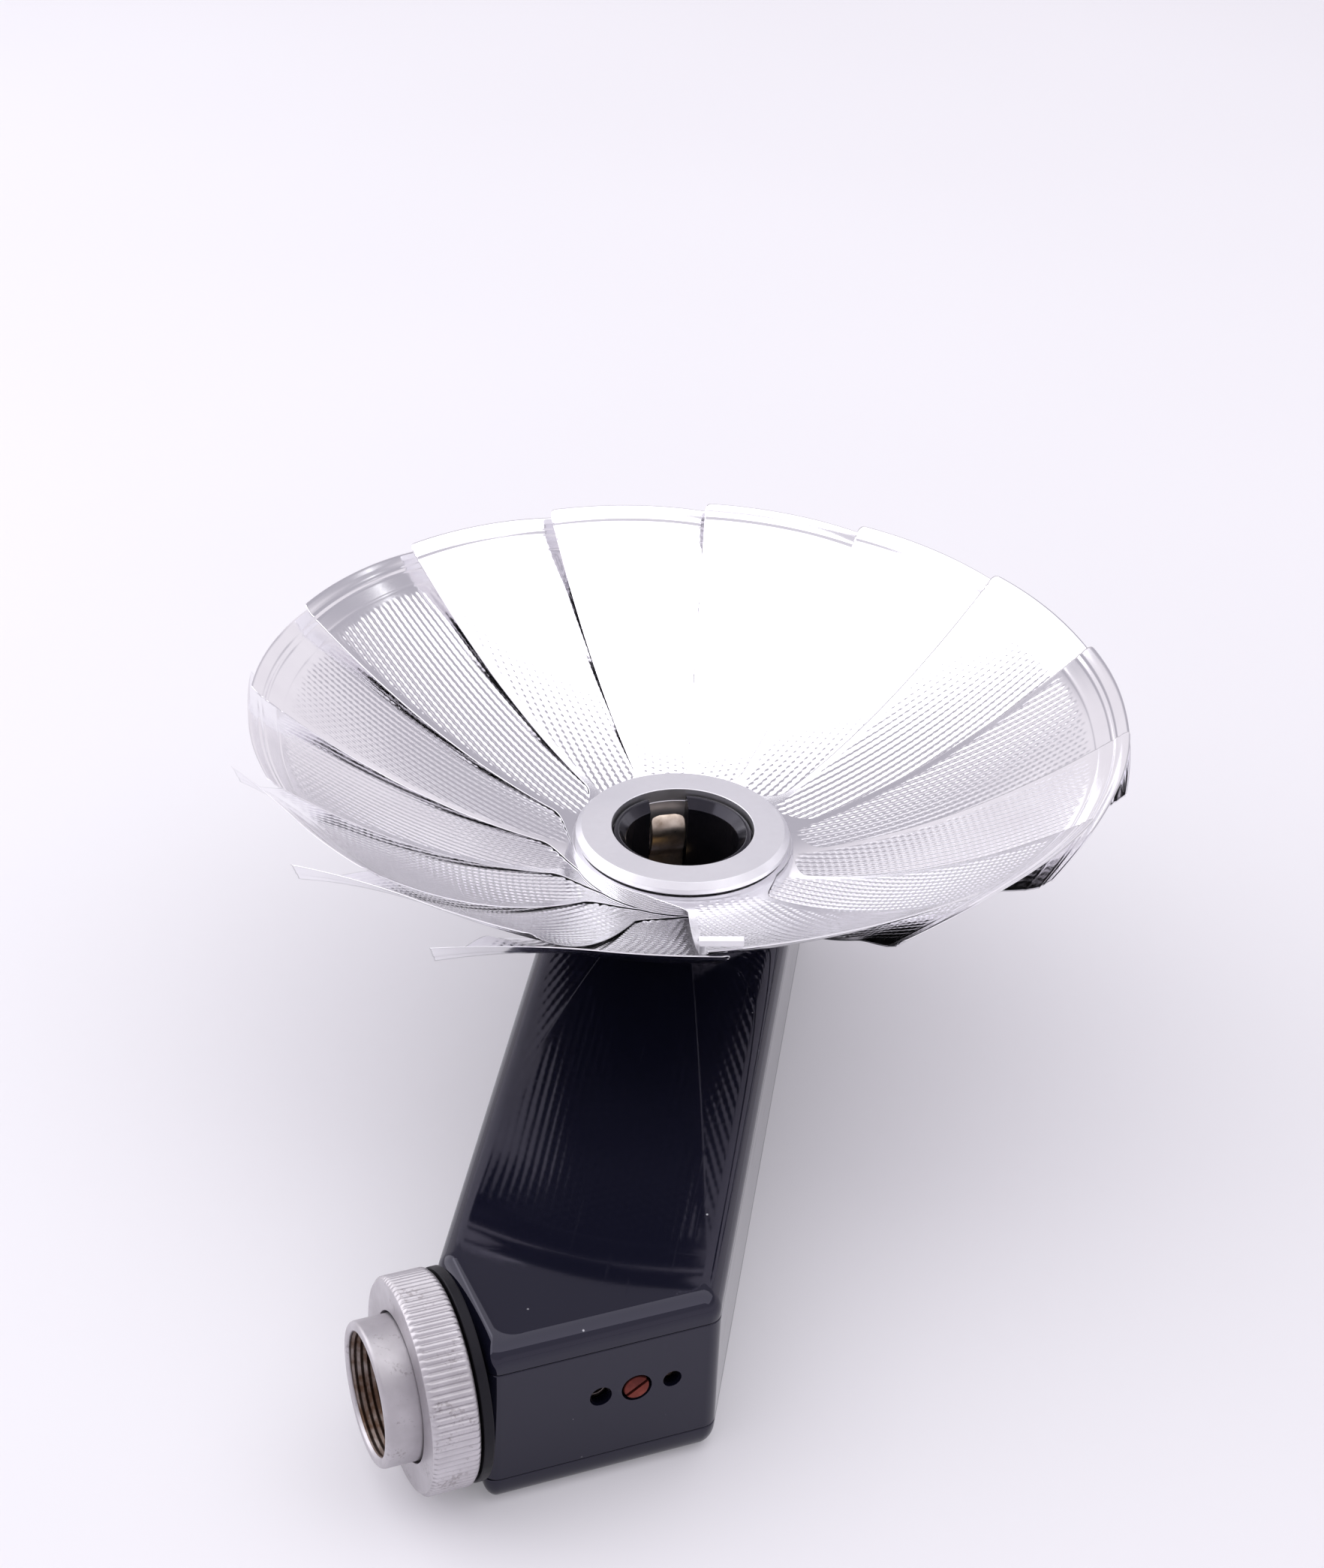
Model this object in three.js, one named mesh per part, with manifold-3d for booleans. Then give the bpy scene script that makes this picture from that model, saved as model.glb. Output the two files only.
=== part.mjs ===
// Flash bulb gun with a folding fan reflector, in millimetres, +Z out of the front face.
// The origin is where the lamp axis meets the flat back; +Y runs up the body, away from the camera connector.
import * as THREE from 'three';
import { mergeVertices } from 'three/addons/utils/BufferGeometryUtils.js';
import Module from 'manifold-3d';

const wasm = await Module();
wasm.setup();

// ---------- driving dimensions ----------
const DEG = Math.PI / 180;

const BODY_HALF_WIDTH = 16.3;
const BODY_DEPTH = 22.5;
const BODY_TOP = 24;
const LOWEST_CORNER = [-7.4, -100.3]; // where the connector side and the sloping foot meet
const FOOT_SLOPE = 30 * DEG;
const WALL = 1.4;
const FACE_THICKNESS = 1.2;
const COVER_SEAM = 19.3; // between front cover and body shell
const BACK_SEAM = 3.6; // between back shell and body shell
const SEAM_GAP = 0.15;
const COVER_BEVEL = 2.6;
const BACK_ROUND = 3;

const OPENING_HEIGHT = 29; // front plane of the hub ring
const OPENING_RADIUS = 9.7;
const HUB_RADIUS = 14.55;
const SLEEVE_RADIUS = 10.5;
const LINER_RADIUS = 9.4;
const SOCKET_RADIUS = 7.65;
const SOCKET_FLOOR = 14.2;
const CONTACT_ANGLE = 112 * DEG;

const BLADES = 15;
const BLADE_PITCH = 23.4; // degrees between one open blade and the next
const BLADE_STEPS = 9;
const BLADE_WIDTH = 35.1; // degrees
const BLADE_THICKNESS = 0.12;
const STACK_PITCH = 0.2;
const STACK_BASE = 24.13;
const FIRST_EDGE = -77.6; // degrees, the anticlockwise edge of the fixed blade
const EYELET_INNER = 10.9;
const EYELET_OUTER = 15; // out to here a blade is a full flat ring
const CREASE_RADIUS = 55.7;
const RIM_RADIUS = 57.8;
const RIM_RISE = 1.9;
const FOCAL_LENGTH = 33.9; // of the parabola that the fan opens into
const FLARE_START = -15; // degrees, from here a rim runs straight on to its clockwise end
const RIM_FLARE = 2.6; // how far that end stands out
const RIM_DROOP = 2;
const CREASE_FLARE = 3.6; // the same for the crease, so that the lip stands steeper there
const CREASE_DROOP = 2.7;

const CONNECTOR_HEIGHT = 12.6;
const COLLAR_RADIUS = 12.2;
const RING_RADIUS = 12.4;
const RING_BORE = 8.6;
const TUBE_RADIUS = 8.3;
const TUBE_BORE = 7.1;
const CORE_RADIUS = 4.9;

const OUTLET_HEIGHT = 12.5;
const OUTLET_PITCH = 4.3;
const OUTLET_FIRST = 13.3; // along the foot from its lowest corner

const BUTTON = [0.5, -19.1];
const BUTTON_RADIUS = 2.35;
const ROCKER_PIVOT = [-12.4, 10.5]; // y and z
const EJECT_PIN_Y = -5.5;
const CHASSIS_BOTTOM = 6.8;
const CHASSIS_TOP = 8;

const BATTERY = { halfWidth: 12.7, bottom: 2.6, top: 18.4, lower: -77.2, upper: -27.2 };
const DOOR = { halfWidth: 13.3, bottom: 0.25, thickness: 1.1, lower: -79.1, pivotY: -25.6, pivotZ: 1.3 };

// ---------- materials ----------
const finish = (color, roughness, metalness) => () =>
  new THREE.MeshStandardMaterial({ color, roughness, metalness });
const brightAluminium = finish(0xdcdce2, 0.25, 1);
const satinAluminium = finish(0xc4c4c8, 0.4, 1);
const glossBlack = finish(0x0b0b12, 0.1, 0);
const bakelite = finish(0x101013, 0.2, 0);
const brass = finish(0xb08a4a, 0.35, 1);
const bronze = finish(0xb9a48a, 0.35, 1);
const springSteel = finish(0x9a9aa0, 0.3, 1);
const copper = finish(0xa8452c, 0.4, 1);
const phenolic = finish(0x6b4326, 0.6, 0);
const batteryPaper = finish(0x2f4a6b, 0.6, 0);
const rubberBlack = finish(0x151515, 0.8, 0);

// ---------- solids ----------
function closed(geometry) {
  // one closed surface with merged corners and its faces pointing out
  const bare = geometry.index ? geometry.toNonIndexed() : geometry.clone();
  bare.deleteAttribute('normal');
  bare.deleteAttribute('uv');
  const merged = mergeVertices(bare, 1e-4);
  const p = merged.attributes.position;
  const kept = [];
  const a = new THREE.Vector3();
  const b = new THREE.Vector3();
  const c = new THREE.Vector3();
  let volume = 0;
  for (let i = 0; i < merged.index.count; i += 3) {
    const corners = [0, 1, 2].map((n) => merged.index.getX(i + n));
    if (new Set(corners).size < 3) continue;
    a.fromBufferAttribute(p, corners[0]);
    b.fromBufferAttribute(p, corners[1]);
    c.fromBufferAttribute(p, corners[2]);
    volume += a.dot(b.cross(c));
    kept.push(corners);
  }
  merged.setIndex(kept.flatMap((t) => (volume < 0 ? [t[0], t[2], t[1]] : t)));
  return merged;
}

function toSolid(geometry) {
  const mesh = closed(geometry);
  return new wasm.Manifold(
    new wasm.Mesh({
      numProp: 3,
      vertProperties: new Float32Array(mesh.attributes.position.array),
      triVerts: new Uint32Array(mesh.index.array),
    }),
  );
}

function toGeometry(solid) {
  const mesh = solid.getMesh();
  const geometry = new THREE.BufferGeometry();
  geometry.setAttribute('position', new THREE.BufferAttribute(mesh.vertProperties, 3));
  geometry.setIndex(new THREE.BufferAttribute(mesh.triVerts, 1));
  return geometry;
}

function cut(base, ...tools) {
  return toGeometry(tools.reduce((solid, tool) => solid.subtract(toSolid(tool)), toSolid(base)));
}

function join(base, ...others) {
  return toGeometry(others.reduce((solid, other) => solid.add(toSolid(other)), toSolid(base)));
}

function lathe(profile, segments = 32) {
  // profile points are [radius, height] about the Z axis
  const points = profile.map(([r, z]) => new THREE.Vector2(r, z));
  return new THREE.LatheGeometry(points, segments).rotateX(Math.PI / 2);
}

function ring(inner, outer, bottom, top, segments = 32) {
  const profile = [[inner, bottom], [outer, bottom], [outer, top], [inner, top], [inner, bottom]];
  return lathe(profile, segments);
}

function rod(radius, bottom, top, segments = 16) {
  return new THREE.CylinderGeometry(radius, radius, top - bottom, segments)
    .rotateX(Math.PI / 2)
    .translate(0, 0, (top + bottom) / 2);
}

function rodAlongX(radius, halfLength, y, z, segments = 12) {
  return rod(radius, -halfLength, halfLength, segments).rotateY(Math.PI / 2).translate(0, y, z);
}

function block(x0, x1, y0, y1, z0, z1) {
  return new THREE.BoxGeometry(x1 - x0, y1 - y0, z1 - z0)
    .translate((x0 + x1) / 2, (y0 + y1) / 2, (z0 + z1) / 2);
}

const COIL_STEPS = 8;

function coil(radius, wire, bottom, top, turns) {
  const steps = turns * COIL_STEPS;
  const points = [];
  for (let i = 0; i <= steps; i += 1) {
    const turn = (i / COIL_STEPS) * 2 * Math.PI;
    const z = bottom + wire + ((top - bottom - 2 * wire) * i) / steps;
    points.push(new THREE.Vector3(radius * Math.cos(turn), radius * Math.sin(turn), z));
  }
  return alongPath(points, wire, steps, 4);
}

function alongPath(points, radius, steps, sides = 8) {
  const section = new THREE.Shape();
  for (let i = 0; i < sides; i += 1) {
    const turn = (i / sides) * 2 * Math.PI;
    if (i === 0) section.moveTo(radius, 0);
    else section.lineTo(radius * Math.cos(turn), radius * Math.sin(turn));
  }
  section.closePath();
  const path = new THREE.CatmullRomCurve3(points);
  return new THREE.ExtrudeGeometry(section, { extrudePath: path, steps, bevelEnabled: false });
}

function bentStrip(path, thickness, width) {
  // path points are [radius, height]; the strip is centred on Y = 0 and its flat sides face along X
  const half = thickness / 2;
  const sides = [[], []];
  path.forEach(([x, y], i) => {
    const [x0, y0] = path[Math.max(i - 1, 0)];
    const [x1, y1] = path[Math.min(i + 1, path.length - 1)];
    const length = Math.hypot(x1 - x0, y1 - y0);
    const nx = (y1 - y0) / length;
    const ny = -(x1 - x0) / length;
    sides[0].push(new THREE.Vector2(x + nx * half, y + ny * half));
    sides[1].push(new THREE.Vector2(x - nx * half, y - ny * half));
  });
  const shape = new THREE.Shape([...sides[0], ...sides[1].reverse()]);
  return new THREE.ExtrudeGeometry(shape, { depth: width, bevelEnabled: false })
    .translate(0, 0, -width / 2)
    .rotateX(Math.PI / 2);
}

function loft(rings, capped = true) {
  // rings of equal length, joined in order; capped ends, or the last ring joins the first
  const count = rings[0].length;
  const positions = rings.flat().flatMap((v) => [v.x, v.y, v.z]);
  const index = [];
  const bands = capped ? rings.length - 1 : rings.length;
  for (let band = 0; band < bands; band += 1) {
    const low = band * count;
    const high = ((band + 1) % rings.length) * count;
    for (let i = 0; i < count; i += 1) {
      const next = (i + 1) % count;
      index.push(low + i, low + next, high + next, low + i, high + next, high + i);
    }
  }
  if (capped) {
    const last = (rings.length - 1) * count;
    for (let i = 1; i < count - 1; i += 1) {
      index.push(0, i + 1, i, last, last + i, last + i + 1);
    }
  }
  const geometry = new THREE.BufferGeometry();
  geometry.setAttribute('position', new THREE.Float32BufferAttribute(positions, 3));
  geometry.setIndex(index);
  return geometry;
}

// ---------- body outline ----------
const [cornerX, cornerY] = LOWEST_CORNER;
const rightFootY = cornerY + Math.tan(FOOT_SLOPE) * (BODY_HALF_WIDTH - cornerX);
const leftFootY = cornerY + (BODY_HALF_WIDTH + cornerX) / Math.tan(FOOT_SLOPE);
const OUTLINE = [
  { x: -BODY_HALF_WIDTH, y: BODY_TOP, radius: 7 },
  { x: -BODY_HALF_WIDTH, y: leftFootY, radius: 3 },
  { x: cornerX, y: cornerY, radius: 1.6 },
  { x: BODY_HALF_WIDTH, y: rightFootY, radius: 2.2 },
  { x: BODY_HALF_WIDTH, y: BODY_TOP, radius: 7 },
];

function outlineRing(inset, z, extraRadius = 0) {
  // the body's outline moved in by inset, with rounded corners, as a ring at height z
  const segments = 4;
  const corners = OUTLINE.map((corner, i) => {
    const before = OUTLINE[(i + OUTLINE.length - 1) % OUTLINE.length];
    const after = OUTLINE[(i + 1) % OUTLINE.length];
    const into = new THREE.Vector2(corner.x - before.x, corner.y - before.y).normalize();
    const out = new THREE.Vector2(after.x - corner.x, after.y - corner.y).normalize();
    const turn = Math.acos(into.dot(out));
    const shift = inset * Math.tan(turn / 2);
    const inward = new THREE.Vector2(-into.y, into.x).multiplyScalar(inset);
    const point = new THREE.Vector2(corner.x, corner.y).add(inward).addScaledVector(into, -shift);
    return { point, into, turn, radius: Math.max(corner.radius - inset, 0.5) + extraRadius };
  });
  return corners.flatMap(({ point, into, turn, radius }) => {
    const start = point.clone().addScaledVector(into, -radius * Math.tan(turn / 2));
    const centre = start.clone().add(new THREE.Vector2(-into.y, into.x).multiplyScalar(radius));
    const first = Math.atan2(start.y - centre.y, start.x - centre.x);
    return Array.from({ length: segments + 1 }, (_, i) => {
      const angle = first + (turn * i) / segments;
      const x = centre.x + radius * Math.cos(angle);
      const y = centre.y + radius * Math.sin(angle);
      return new THREE.Vector3(x, y, z);
    });
  });
}

// ---------- scene graph ----------
const gun = new THREE.Group();

function add(name, geometry, material, parent = gun) {
  const mesh = new THREE.Mesh(closed(geometry), material());
  mesh.name = name;
  parent.add(mesh);
  return mesh;
}

// connector side and foot, each as a group whose +Z points out of its wall
const connector = new THREE.Group();
const connectorOut = new THREE.Vector3(-Math.cos(FOOT_SLOPE), -Math.sin(FOOT_SLOPE), 0);
const connectorX = (cornerX - BODY_HALF_WIDTH) / 2;
const connectorY = (cornerY + leftFootY) / 2;
connector.position.set(connectorX, connectorY, CONNECTOR_HEIGHT);
connector.quaternion.setFromUnitVectors(new THREE.Vector3(0, 0, 1), connectorOut);
gun.add(connector);

function outletPlace(step) {
  // a group on the foot, step outlet pitches along it, with its +Z out of the wall
  const along = OUTLET_FIRST + OUTLET_PITCH * step;
  const place = new THREE.Group();
  const x = cornerX + along * Math.cos(FOOT_SLOPE);
  const y = cornerY + along * Math.sin(FOOT_SLOPE);
  place.position.set(x, y, OUTLET_HEIGHT);
  place.rotation.set(Math.PI / 2, FOOT_SLOPE, 0);
  gun.add(place);
  return place;
}
const outletPlaces = [0, 1, 2].map(outletPlace);

// ---------- casing ----------
// the front cover is a plate on a frame, and the two meet in this plane
const COVER_SPLIT = BODY_DEPTH - FACE_THICKNESS + 0.1;
const COVER_SPLIT_GAP = 0.03;

function frontCoverPlate() {
  const plate = loft([
    outlineRing(0.5, COVER_SPLIT, 0.4),
    outlineRing(1.4, BODY_DEPTH - 0.4, 1.2),
    outlineRing(COVER_BEVEL, BODY_DEPTH, 2),
  ]);
  const hubHole = rod(SLEEVE_RADIUS + 0.3, COVER_SPLIT - 1, BODY_DEPTH + 1, 32);
  const buttonHole = rod(BUTTON_RADIUS + 0.3, COVER_SPLIT - 1, BODY_DEPTH + 1, 20)
    .translate(BUTTON[0], BUTTON[1], 0);
  return cut(plate, hubHole, buttonHole);
}

function frontCoverFrame() {
  const top = COVER_SPLIT - COVER_SPLIT_GAP;
  return loft([
    outlineRing(0, COVER_SEAM),
    outlineRing(0, COVER_SEAM + 1),
    outlineRing(0.5, top, 0.4),
    outlineRing(WALL + 0.3, top, 0.4),
    outlineRing(WALL, COVER_SEAM + 1),
    outlineRing(WALL, COVER_SEAM),
  ], false);
}

function bodyShell() {
  const bottom = BACK_SEAM + SEAM_GAP;
  const top = COVER_SEAM - SEAM_GAP;
  const walls = loft([
    outlineRing(0, bottom),
    outlineRing(0, top),
    outlineRing(WALL, top),
    outlineRing(WALL, bottom),
  ], false);
  const connectorHole = rod(CORE_RADIUS + 0.4, -3, 1, 24).applyMatrix4(placed(connector));
  const outletHoles = outletPlaces.map((place, i) =>
    rod([1.3, 1.8, 1.1][i], -3, 1, 16).applyMatrix4(placed(place)));
  return cut(walls, connectorHole, ...outletHoles);
}

function placed(group) {
  group.updateMatrix();
  return group.matrix;
}

function backShell() {
  const tray = loft([
    outlineRing(WALL, FACE_THICKNESS),
    outlineRing(WALL, BACK_SEAM),
    outlineRing(0, BACK_SEAM),
    outlineRing(0.1, BACK_ROUND * 0.75),
    outlineRing(0.9, BACK_ROUND * 0.25),
    outlineRing(2.2, 0),
  ]);
  const lugs = [-1, 1].map((side) => {
    const middle = side * (DOOR.halfWidth + 0.95);
    const y0 = DOOR.pivotY - 1.4;
    return block(middle - 0.55, middle + 0.55, y0, y0 + 2.8, 0.6, 2.7);
  });
  const openingHalf = DOOR.halfWidth + 0.35;
  const opening = block(-openingHalf, openingHalf, DOOR.lower - 0.35, DOOR.pivotY + 1.4, -1, 2);
  const pinBore = rodAlongX(0.75, DOOR.halfWidth + 1.1, DOOR.pivotY, DOOR.pivotZ);
  return cut(join(tray, ...lugs), opening, pinBore);
}

add('front_cover', frontCoverPlate(), glossBlack);
add('front_cover_frame', frontCoverFrame(), glossBlack);
add('body_shell', bodyShell(), glossBlack);
add('back_shell', backShell(), glossBlack);

// ---------- battery door ----------
function batteryDoor() {
  const top = DOOR.bottom + DOOR.thickness;
  const plate = block(-DOOR.halfWidth, DOOR.halfWidth, DOOR.lower, DOOR.pivotY, DOOR.bottom, top);
  const knuckle = rodAlongX(1.05, DOOR.halfWidth, DOOR.pivotY, DOOR.pivotZ, 16);
  const bore = rodAlongX(0.65, DOOR.halfWidth + 1, DOOR.pivotY, DOOR.pivotZ);
  const snap = block(-5, 5, DOOR.lower + 0.05, DOOR.lower + 0.9, top - 0.2, top + 1.2);
  const nailNotch = block(-5, 5, DOOR.lower - 1, DOOR.lower + 1.6, -1, DOOR.bottom + 0.5);
  return cut(join(plate, knuckle, snap), bore, nailNotch);
}

add('battery_door', batteryDoor(), glossBlack);
add('door_hinge_pin', rodAlongX(0.4, DOOR.halfWidth + 0.9, DOOR.pivotY, DOOR.pivotZ, 8), springSteel);

// ---------- electrical parts in the body ----------
const { halfWidth: batteryX, bottom: batteryZ0, top: batteryZ1, lower, upper } = BATTERY;
add('battery', block(-batteryX, batteryX, lower, upper, batteryZ0, batteryZ1), batteryPaper);
const leafPath = (y) => [[y, 5], [y + 0.5, 8], [y + 0.5, 11], [y, 14]];
const leaf = (y) => bentStrip(leafPath(y), 0.4, 8).rotateZ(Math.PI / 2);
add('battery_contact_upper', leaf(upper + 0.5), bronze);
add('battery_contact_lower', leaf(lower - 1.1), bronze);
add('capacitor', rodAlongX(4.6, 12, 17, 8.4, 20), brightAluminium);

add('terminal_board', block(-3, 13.5, -84.6, -80.4, 4.4, 5.6), phenolic);
add('resistor', rodAlongX(1.4, 4.5, -82.5, 7.2, 12).translate(6, 0, 0), phenolic);

// ---------- bulb socket ----------
function socketLiner() {
  const skirt = CHASSIS_TOP + 0.3;
  const body = lathe([
    [2.5, SOCKET_FLOOR - 1],
    [SOCKET_RADIUS, SOCKET_FLOOR - 1],
    [SOCKET_RADIUS, skirt],
    [LINER_RADIUS, skirt],
    [LINER_RADIUS, 28],
    [9.1, 28.3],
    [8.6, 28.3],
    [SOCKET_RADIUS, 27.2],
    [SOCKET_RADIUS, SOCKET_FLOOR],
    [2.5, SOCKET_FLOOR],
    [2.5, SOCKET_FLOOR - 1],
  ], 30);
  const contactSlot = block(6, 10, -2.7, 2.7, 9.6, 30).rotateZ(CONTACT_ANGLE);
  const pinSlot = block(6, 8.9, -1, 1, 20.5, 30).rotateZ(CONTACT_ANGLE - Math.PI);
  const rockerSlot = block(-2.7, 2.7, -10, -6.5, 7, SOCKET_FLOOR - 1.1);
  const ejectHole = rod(1.15, 12, 15, 12).translate(0, EJECT_PIN_Y, 0);
  return cut(body, contactSlot, pinSlot, rockerSlot, ejectHole);
}

function sideContact() {
  const foot = [[8.6, 9.9], [8.6, 18.5]];
  const bow = [[7.6, 20.8], [7.2, 22.6], [7.25, 23.8], [7.75, 24.9], [8.5, 25.7]];
  return bentStrip([...foot, ...bow], 0.5, 4.6).rotateZ(CONTACT_ANGLE);
}

function centreContact() {
  return lathe([[0, 5.5], [0.9, 5.5], [0.9, 11.2], [2.9, 11.2], [2.9, 12.7], [2.1, 12.7],
    [2.1, 15.2], [1.6, 16], [0.8, 16.4], [0, 16.5]], 16);
}

function chassisPlate() {
  const plate = block(-14, 14, -16, 11, CHASSIS_BOTTOM, CHASSIS_TOP);
  return cut(plate, rod(1.3, 6, 9, 12));
}

add('hub_ring', lathe([[OPENING_RADIUS, 27.2], [14.2, 27.2], [HUB_RADIUS, 27.6], [HUB_RADIUS, 28.5],
  [14.05, OPENING_HEIGHT], [OPENING_RADIUS, OPENING_HEIGHT], [OPENING_RADIUS, 27.2]], 36), satinAluminium);
add('hub_sleeve', ring(OPENING_RADIUS, SLEEVE_RADIUS, 16, 27.1, 30), satinAluminium);
add('hub_nut', ring(10.8, 13.4, 18.1, 20.9, 20), brass);
add('fan_seat', ring(EYELET_INNER, 14.2, 22.65, 23.6, 28), satinAluminium);
add('fan_spring_washer', ring(EYELET_INNER, 14, 23.7, 24, 28), springSteel);
add('socket_liner', socketLiner(), bakelite);
add('bulb_side_contact', sideContact(), bronze);
add('bulb_centre_contact', centreContact(), brass);
add('centre_contact_spring', coil(1.9, 0.25, CHASSIS_TOP + 0.1, 11.1, 4), springSteel);
add('chassis_plate', chassisPlate(), phenolic);

// ---------- bulb ejector ----------
const [pivotY, pivotZ] = ROCKER_PIVOT;

function ejectButton() {
  const top = BODY_DEPTH + 0.15;
  const profile = [[0, 11.5], [1.1, 11.5], [1.1, 20.3], [3.2, 20.3], [3.2, 21.1], [BUTTON_RADIUS, 21.1],
    [BUTTON_RADIUS, top - 0.2], [2.1, top], [0, top]];
  return lathe(profile, 20).translate(BUTTON[0], BUTTON[1], 0);
}

function ejectRocker() {
  const arm = block(-1.8, 1.8, -20.4, -4.9, pivotZ - 0.55, pivotZ + 0.55);
  const boss = rodAlongX(1.4, 1.8, pivotY, pivotZ, 16);
  return cut(join(arm, boss), rodAlongX(0.95, 3, pivotY, pivotZ));
}

function rockerBracket() {
  const base = block(-3.6, 3.6, -14.6, -10.3, 8.2, 8.8);
  const ears = [[-3.6, -2.6], [2.6, 3.6]].map(([x0, x1]) => block(x0, x1, -14.6, -10.3, 8.5, 12.4));
  return cut(join(base, ...ears), rodAlongX(0.95, 5, pivotY, pivotZ));
}

function buttonGuide() {
  const [x, y] = BUTTON;
  const plate = block(x - 5.5, x + 5.5, y - 4, y + 4, 15.6, 16.6);
  return cut(plate, rod(1.5, 15, 17, 12).translate(x, y, 0));
}

add('eject_button', ejectButton(), glossBlack);
add('eject_spring', coil(1.9, 0.25, 16.8, 20.2, 4).translate(BUTTON[0], BUTTON[1], 0), springSteel);
add('button_guide', buttonGuide(), phenolic);
add('eject_rocker', ejectRocker(), springSteel);
add('rocker_pin', rodAlongX(0.6, 3.9, pivotY, pivotZ, 10), springSteel);
add('rocker_bracket', rockerBracket(), springSteel);
add('eject_pin', lathe([[0, 11.3], [1.5, 11.3], [1.5, 11.7], [0.8, 11.7], [0.8, 15], [0, 15.3]], 12)
  .translate(0, EJECT_PIN_Y, 0), brass);

// ---------- folding fan ----------
const bowlHeight = (r) => (r * r - EYELET_OUTER * EYELET_OUTER) / (4 * FOCAL_LENGTH);
const RIM_HEIGHT = bowlHeight(CREASE_RADIUS) + RIM_RISE;

function bladeProfile() {
  // radius and height from the eyelet out to the rim
  const steps = 5;
  const profile = [[EYELET_INNER, 0], [EYELET_OUTER, 0]];
  for (let i = 1; i <= steps; i += 1) {
    const r = EYELET_OUTER + ((CREASE_RADIUS - EYELET_OUTER) * i) / steps;
    profile.push([r, bowlHeight(r)]);
  }
  profile.push([RIM_RADIUS, RIM_HEIGHT]);
  return profile;
}

function bladeAngles() {
  // the sector clockwise of angle 0 first, then round the rest of the eyelet
  const angles = [];
  for (let i = 0; i <= BLADE_STEPS; i += 1) {
    angles.push(BLADE_WIDTH * (i / BLADE_STEPS - 1));
  }
  const rest = 12;
  for (let i = 1; i < rest; i += 1) {
    angles.push(((360 - BLADE_WIDTH) * i) / rest);
  }
  return angles;
}

function blade(isFlared) {
  // toward its clockwise end a flared blade runs out of the circle, below the blade that covers it
  const profile = bladeProfile();
  const shifts = profile.map(() => [0, 0]);
  if (isFlared) {
    shifts[profile.length - 2] = [CREASE_FLARE, CREASE_DROOP];
    shifts[profile.length - 1] = [RIM_FLARE, RIM_DROOP];
  }
  const angles = bladeAngles();
  const columns = angles.length;
  const positions = [];
  for (const lift of [0, BLADE_THICKNESS]) {
    profile.forEach(([r, z], i) => {
      const [flare, droop] = shifts[i];
      for (const angle of angles) {
        const along = Math.max(0, (FLARE_START - angle) / (FLARE_START + BLADE_WIDTH));
        const near = along * along;
        const radius = r + flare * near;
        const height = z + lift - droop * near;
        positions.push(radius * Math.cos(angle * DEG), radius * Math.sin(angle * DEG), height);
      }
    });
  }
  const layer = profile.length * columns;
  const at = (i, j, top) => (top ? layer : 0) + i * columns + (j % columns);
  const isSheet = (i, j) => {
    const inside = i >= 0 && i < profile.length - 1;
    return inside && (i === 0 || (j + columns) % columns < BLADE_STEPS);
  };
  const index = [];
  const quad = (a, b, c, d) => index.push(a, b, c, a, c, d);
  for (let i = 0; i < profile.length - 1; i += 1) {
    for (let j = 0; j < columns; j += 1) {
      if (!isSheet(i, j)) continue;
      quad(at(i, j, 1), at(i + 1, j, 1), at(i + 1, j + 1, 1), at(i, j + 1, 1));
      quad(at(i, j, 0), at(i, j + 1, 0), at(i + 1, j + 1, 0), at(i + 1, j, 0));
      const [n, m] = [i + 1, j + 1];
      if (!isSheet(i - 1, j)) quad(at(i, j, 0), at(i, j, 1), at(i, m, 1), at(i, m, 0));
      if (!isSheet(n, j)) quad(at(n, j, 0), at(n, m, 0), at(n, m, 1), at(n, j, 1));
      if (!isSheet(i, j - 1)) quad(at(i, j, 0), at(n, j, 0), at(n, j, 1), at(i, j, 1));
      if (!isSheet(i, m)) quad(at(i, m, 0), at(i, m, 1), at(n, m, 1), at(n, m, 0));
    }
  }
  const geometry = new THREE.BufferGeometry();
  geometry.setAttribute('position', new THREE.Float32BufferAttribute(positions, 3));
  geometry.setIndex(index);
  return geometry;
}

function fanLatch() {
  // a bracket folded over the clockwise end of the front blade's rim, with a tab to pull the fan open by
  const thickness = 0.25;
  const outer = RIM_RADIUS + 0.55;
  const inner = [RIM_RADIUS - 1.65, RIM_HEIGHT - 1.05];
  const fold = [RIM_RADIUS + 0.1, RIM_HEIGHT + 0.55];
  const turn = [outer, RIM_HEIGHT + 0.4];
  const plate = bentStrip([inner, fold, turn, [outer, RIM_HEIGHT - 0.3]], thickness, 5.2);
  const tab = bentStrip([fold, turn, [outer, RIM_HEIGHT - 1.3]], thickness, 0.8);
  const tabAngle = -(BLADE_WIDTH + 0.7) * DEG;
  return join(plate.rotateZ(tabAngle + 2.15 * DEG), tab.rotateZ(tabAngle));
}

const flaredBlade = blade(true);
const frontBlade = blade(false);
for (let k = 1; k <= BLADES; k += 1) {
  const name = `blade_${String(k).padStart(2, '0')}`;
  const mesh = add(name, k < BLADES ? flaredBlade : frontBlade, brightAluminium);
  mesh.rotation.z = (FIRST_EDGE - BLADE_PITCH * (k - 1)) * DEG;
  mesh.position.z = STACK_BASE + STACK_PITCH * (k - 1);
}
const latch = add('fan_latch', fanLatch(), satinAluminium);
latch.rotation.z = (FIRST_EDGE - BLADE_PITCH * (BLADES - 1)) * DEG;
latch.position.z = STACK_BASE + STACK_PITCH * (BLADES - 1);

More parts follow.
